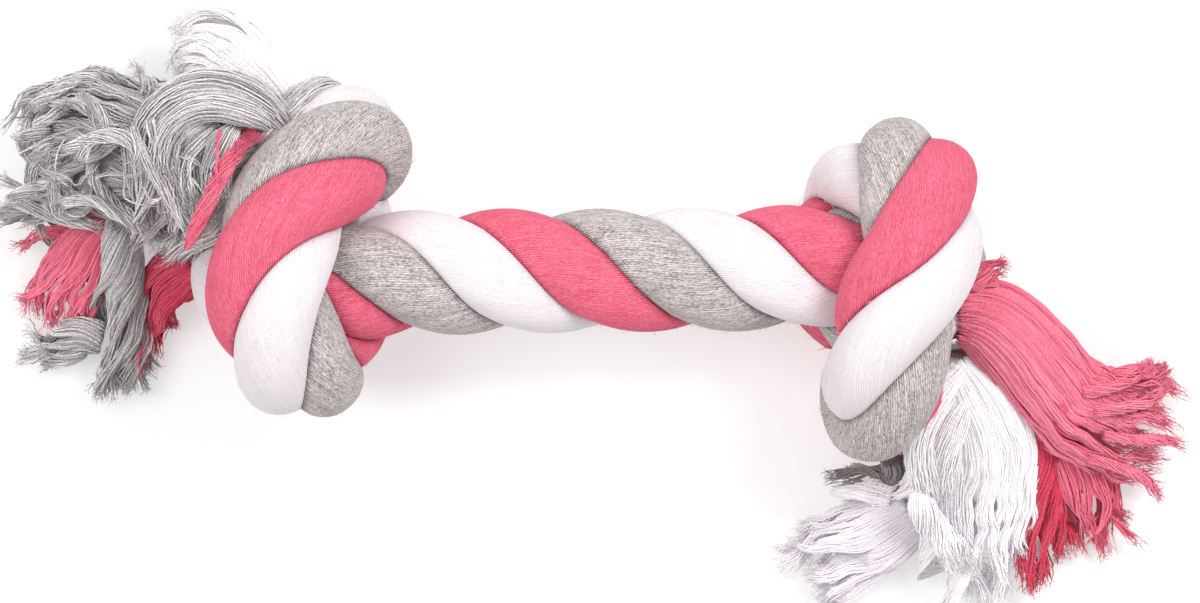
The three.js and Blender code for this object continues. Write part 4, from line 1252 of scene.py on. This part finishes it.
def yarn_mesh(name, yarns, painted_shade, rng):
    """Yarns with a few loose fibres at their cut ends."""
    tubes, radii, depths = [], [], []
    for path, depth in yarns:
        # Each yarn's painted shade: the lock's own, added to its shade from lying inside the lock and its
        # tone by chance
        depths += [painted_shade + depth] * (1 + FIBRES_AT_CUT)
        taper = np.ones(len(path))
        taper[0] = taper[-1] = YARN_TAPER
        tubes.append(path)
        radii.append(YARN_RADIUS * rng.uniform(*YARN_SIZES) * taper)
        end = unit(path[-1] - path[-2])
        for _ in range(FIBRES_AT_CUT):
            lean = unit(end + rng.normal(0, FIBRE_LEAN, 3))
            bend = unit(lean + rng.normal(0, FIBRE_BEND, 3))
            reach = rng.uniform(*FIBRE_REACH)
            root = path[-1] - end * FIBRE_DEPTH
            tubes.append(fibre_path(root, root, lean, bend, reach, FIBRE_RADIUS))
            radii.append(FIBRE_RADIUS)
    mesh = swept_mesh(name, tubes, radii, YARN_SIDES)
    lengths = np.array([len(tube) for tube in tubes])
    along = np.repeat(np.concatenate([distances(tube) for tube in tubes]), YARN_SIDES)
    write_uv(mesh, along, np.tile(np.arange(YARN_SIDES), lengths.sum()), YARN_SIDES)
    corners = lengths * YARN_SIDES
    write_values(mesh, "yarn", np.repeat(rng.uniform(0, 100, len(tubes)), corners))
    # How much painted shade each yarn and its fibres take, with a darker tone by chance
    write_values(mesh, "groove", np.clip(np.repeat(depths, corners), 0, 1))
    return mesh


def lay_locks(rng):
    """The locks, the yarns of each with their depths, and the heights of them all."""
    locks = {name: Lock(name, **lock) for name, lock in LOCKS.items()}
    heights = Heights()
    bundles = {}
    for name, lock in locks.items():
        paths, depths = lock_paths(rng, lock)
        heights.add(paths)
        bundles[name] = list(zip(paths, depths))
    heights.end_locks()
    return locks, bundles, heights


def lay_strays(rng, bundles, heights):
    """Add the small bundles to the locks' yarns, those with heights first and then from thick to thin."""
    given = [stray for stray in STRAYS if len(stray[4][0]) == 3]
    draped = [stray for stray in STRAYS if len(stray[4][0]) == 2]
    for name, count, yarns, size, middle, half in NESTS:
        for rows in nest_rows(rng, middle, half, count):
            number = int(rng.integers(*yarns))
            radius = size * rng.uniform(*NEST_SIZES)
            draped.append((name, number, radius, rng.uniform(*NEST_TWISTS), rows))
    draped.sort(key=lambda stray: -stray[2])
    for name, yarns, size, twist, rows in given + draped:
        paths = stray_paths(rng, heights, knot_of(name), yarns, size, twist, rows)
        for path in paths:
            heights.add(path)
        bundles[name] += [(path, rng.uniform(0, STRAY_DEPTH) ** 3) for path in paths]


def make_tufts(rng, locks, bundles, packed, loose):
    """Each lock's loose yarns, and its inner yarns under them."""
    for name, lock in locks.items():
        mesh = yarn_mesh(name + "_yarn", bundles[name], lock.painted_shade, rng)
        new_piece(name + "_yarn", mesh, loose[lock.slot], name)
        core = core_mesh(name + "_core", lock)
        new_piece(name + "_core", core, packed[lock.slot], name)


# Stage


def set_world():
    """White to the camera and in reflections, and dimmer on the toy."""
    world = bpy.data.worlds.new("studio")
    bpy.context.scene.world = world
    world.use_nodes = True
    tree = world.node_tree
    back = tree.nodes["Background"]
    back.inputs["Color"].default_value = WHITE
    path = tree.nodes.new("ShaderNodeLightPath")
    seen = maths(tree, "MAXIMUM", path.outputs["Is Camera Ray"], path.outputs["Is Glossy Ray"])
    strength = maths(tree, "ADD", maths(tree, "MULTIPLY", seen, 1 - WORLD_LEVEL), WORLD_LEVEL)
    tree.links.new(strength, back.inputs["Strength"])


def set_lamps():
    for name, place, size, power in LAMPS:
        light = bpy.data.lights.new(name, "AREA")
        light.shape = "DISK"
        light.size = size
        light.energy = power
        lamp = bpy.data.objects.new(name, light)
        lamp.location = place
        lamp.rotation_mode = "QUATERNION"
        direction = -lamp.location
        lamp.rotation_quaternion = direction.to_track_quat("-Z", "Y")
        bpy.context.scene.collection.objects.link(lamp)


def floor_material():
    material = bpy.data.materials.new("pale floor")
    material.use_nodes = True
    tree = material.node_tree
    shader = tree.nodes["Principled BSDF"]
    shader.inputs["Base Color"].default_value = FLOOR_COLOUR
    shader.inputs["Roughness"].default_value = FLOOR_ROUGHNESS
    shader.inputs["Specular IOR Level"].default_value = 0.0
    shader.inputs["Emission Color"].default_value = WHITE
    path = tree.nodes.new("ShaderNodeLightPath")
    seen = maths(tree, "MULTIPLY", path.outputs["Is Camera Ray"], FLOOR_GLOW_SEEN)
    tree.links.new(maths(tree, "ADD", seen, FLOOR_GLOW), shader.inputs["Emission Strength"])
    return material


def set_floor():
    mesh = bpy.data.meshes.new("floor")
    bm = bmesh.new()
    bmesh.ops.create_grid(bm, x_segments=1, y_segments=1, size=FLOOR_HALF_SIZE)
    bm.to_mesh(mesh)
    bm.free()
    mesh.materials.append(floor_material())
    floor = bpy.data.objects.new("floor", mesh)
    bpy.context.scene.collection.objects.link(floor)


set_camera()
rng = np.random.default_rng(SEED)
group = cotton_group()
packed = make_strands(group, rng)
loose = {slot: cotton_material("loose " + slot, group, False, **LOOSE[slot]) for slot in LOOSE}
locks, bundles, heights = lay_locks(rng)
rng = np.random.default_rng(STRAY_SEED)
lay_strays(rng, bundles, heights)
make_tufts(rng, locks, bundles, packed, loose)

bpy.context.scene.view_settings.view_transform = "Standard"
set_world()
set_lamps()
set_floor()
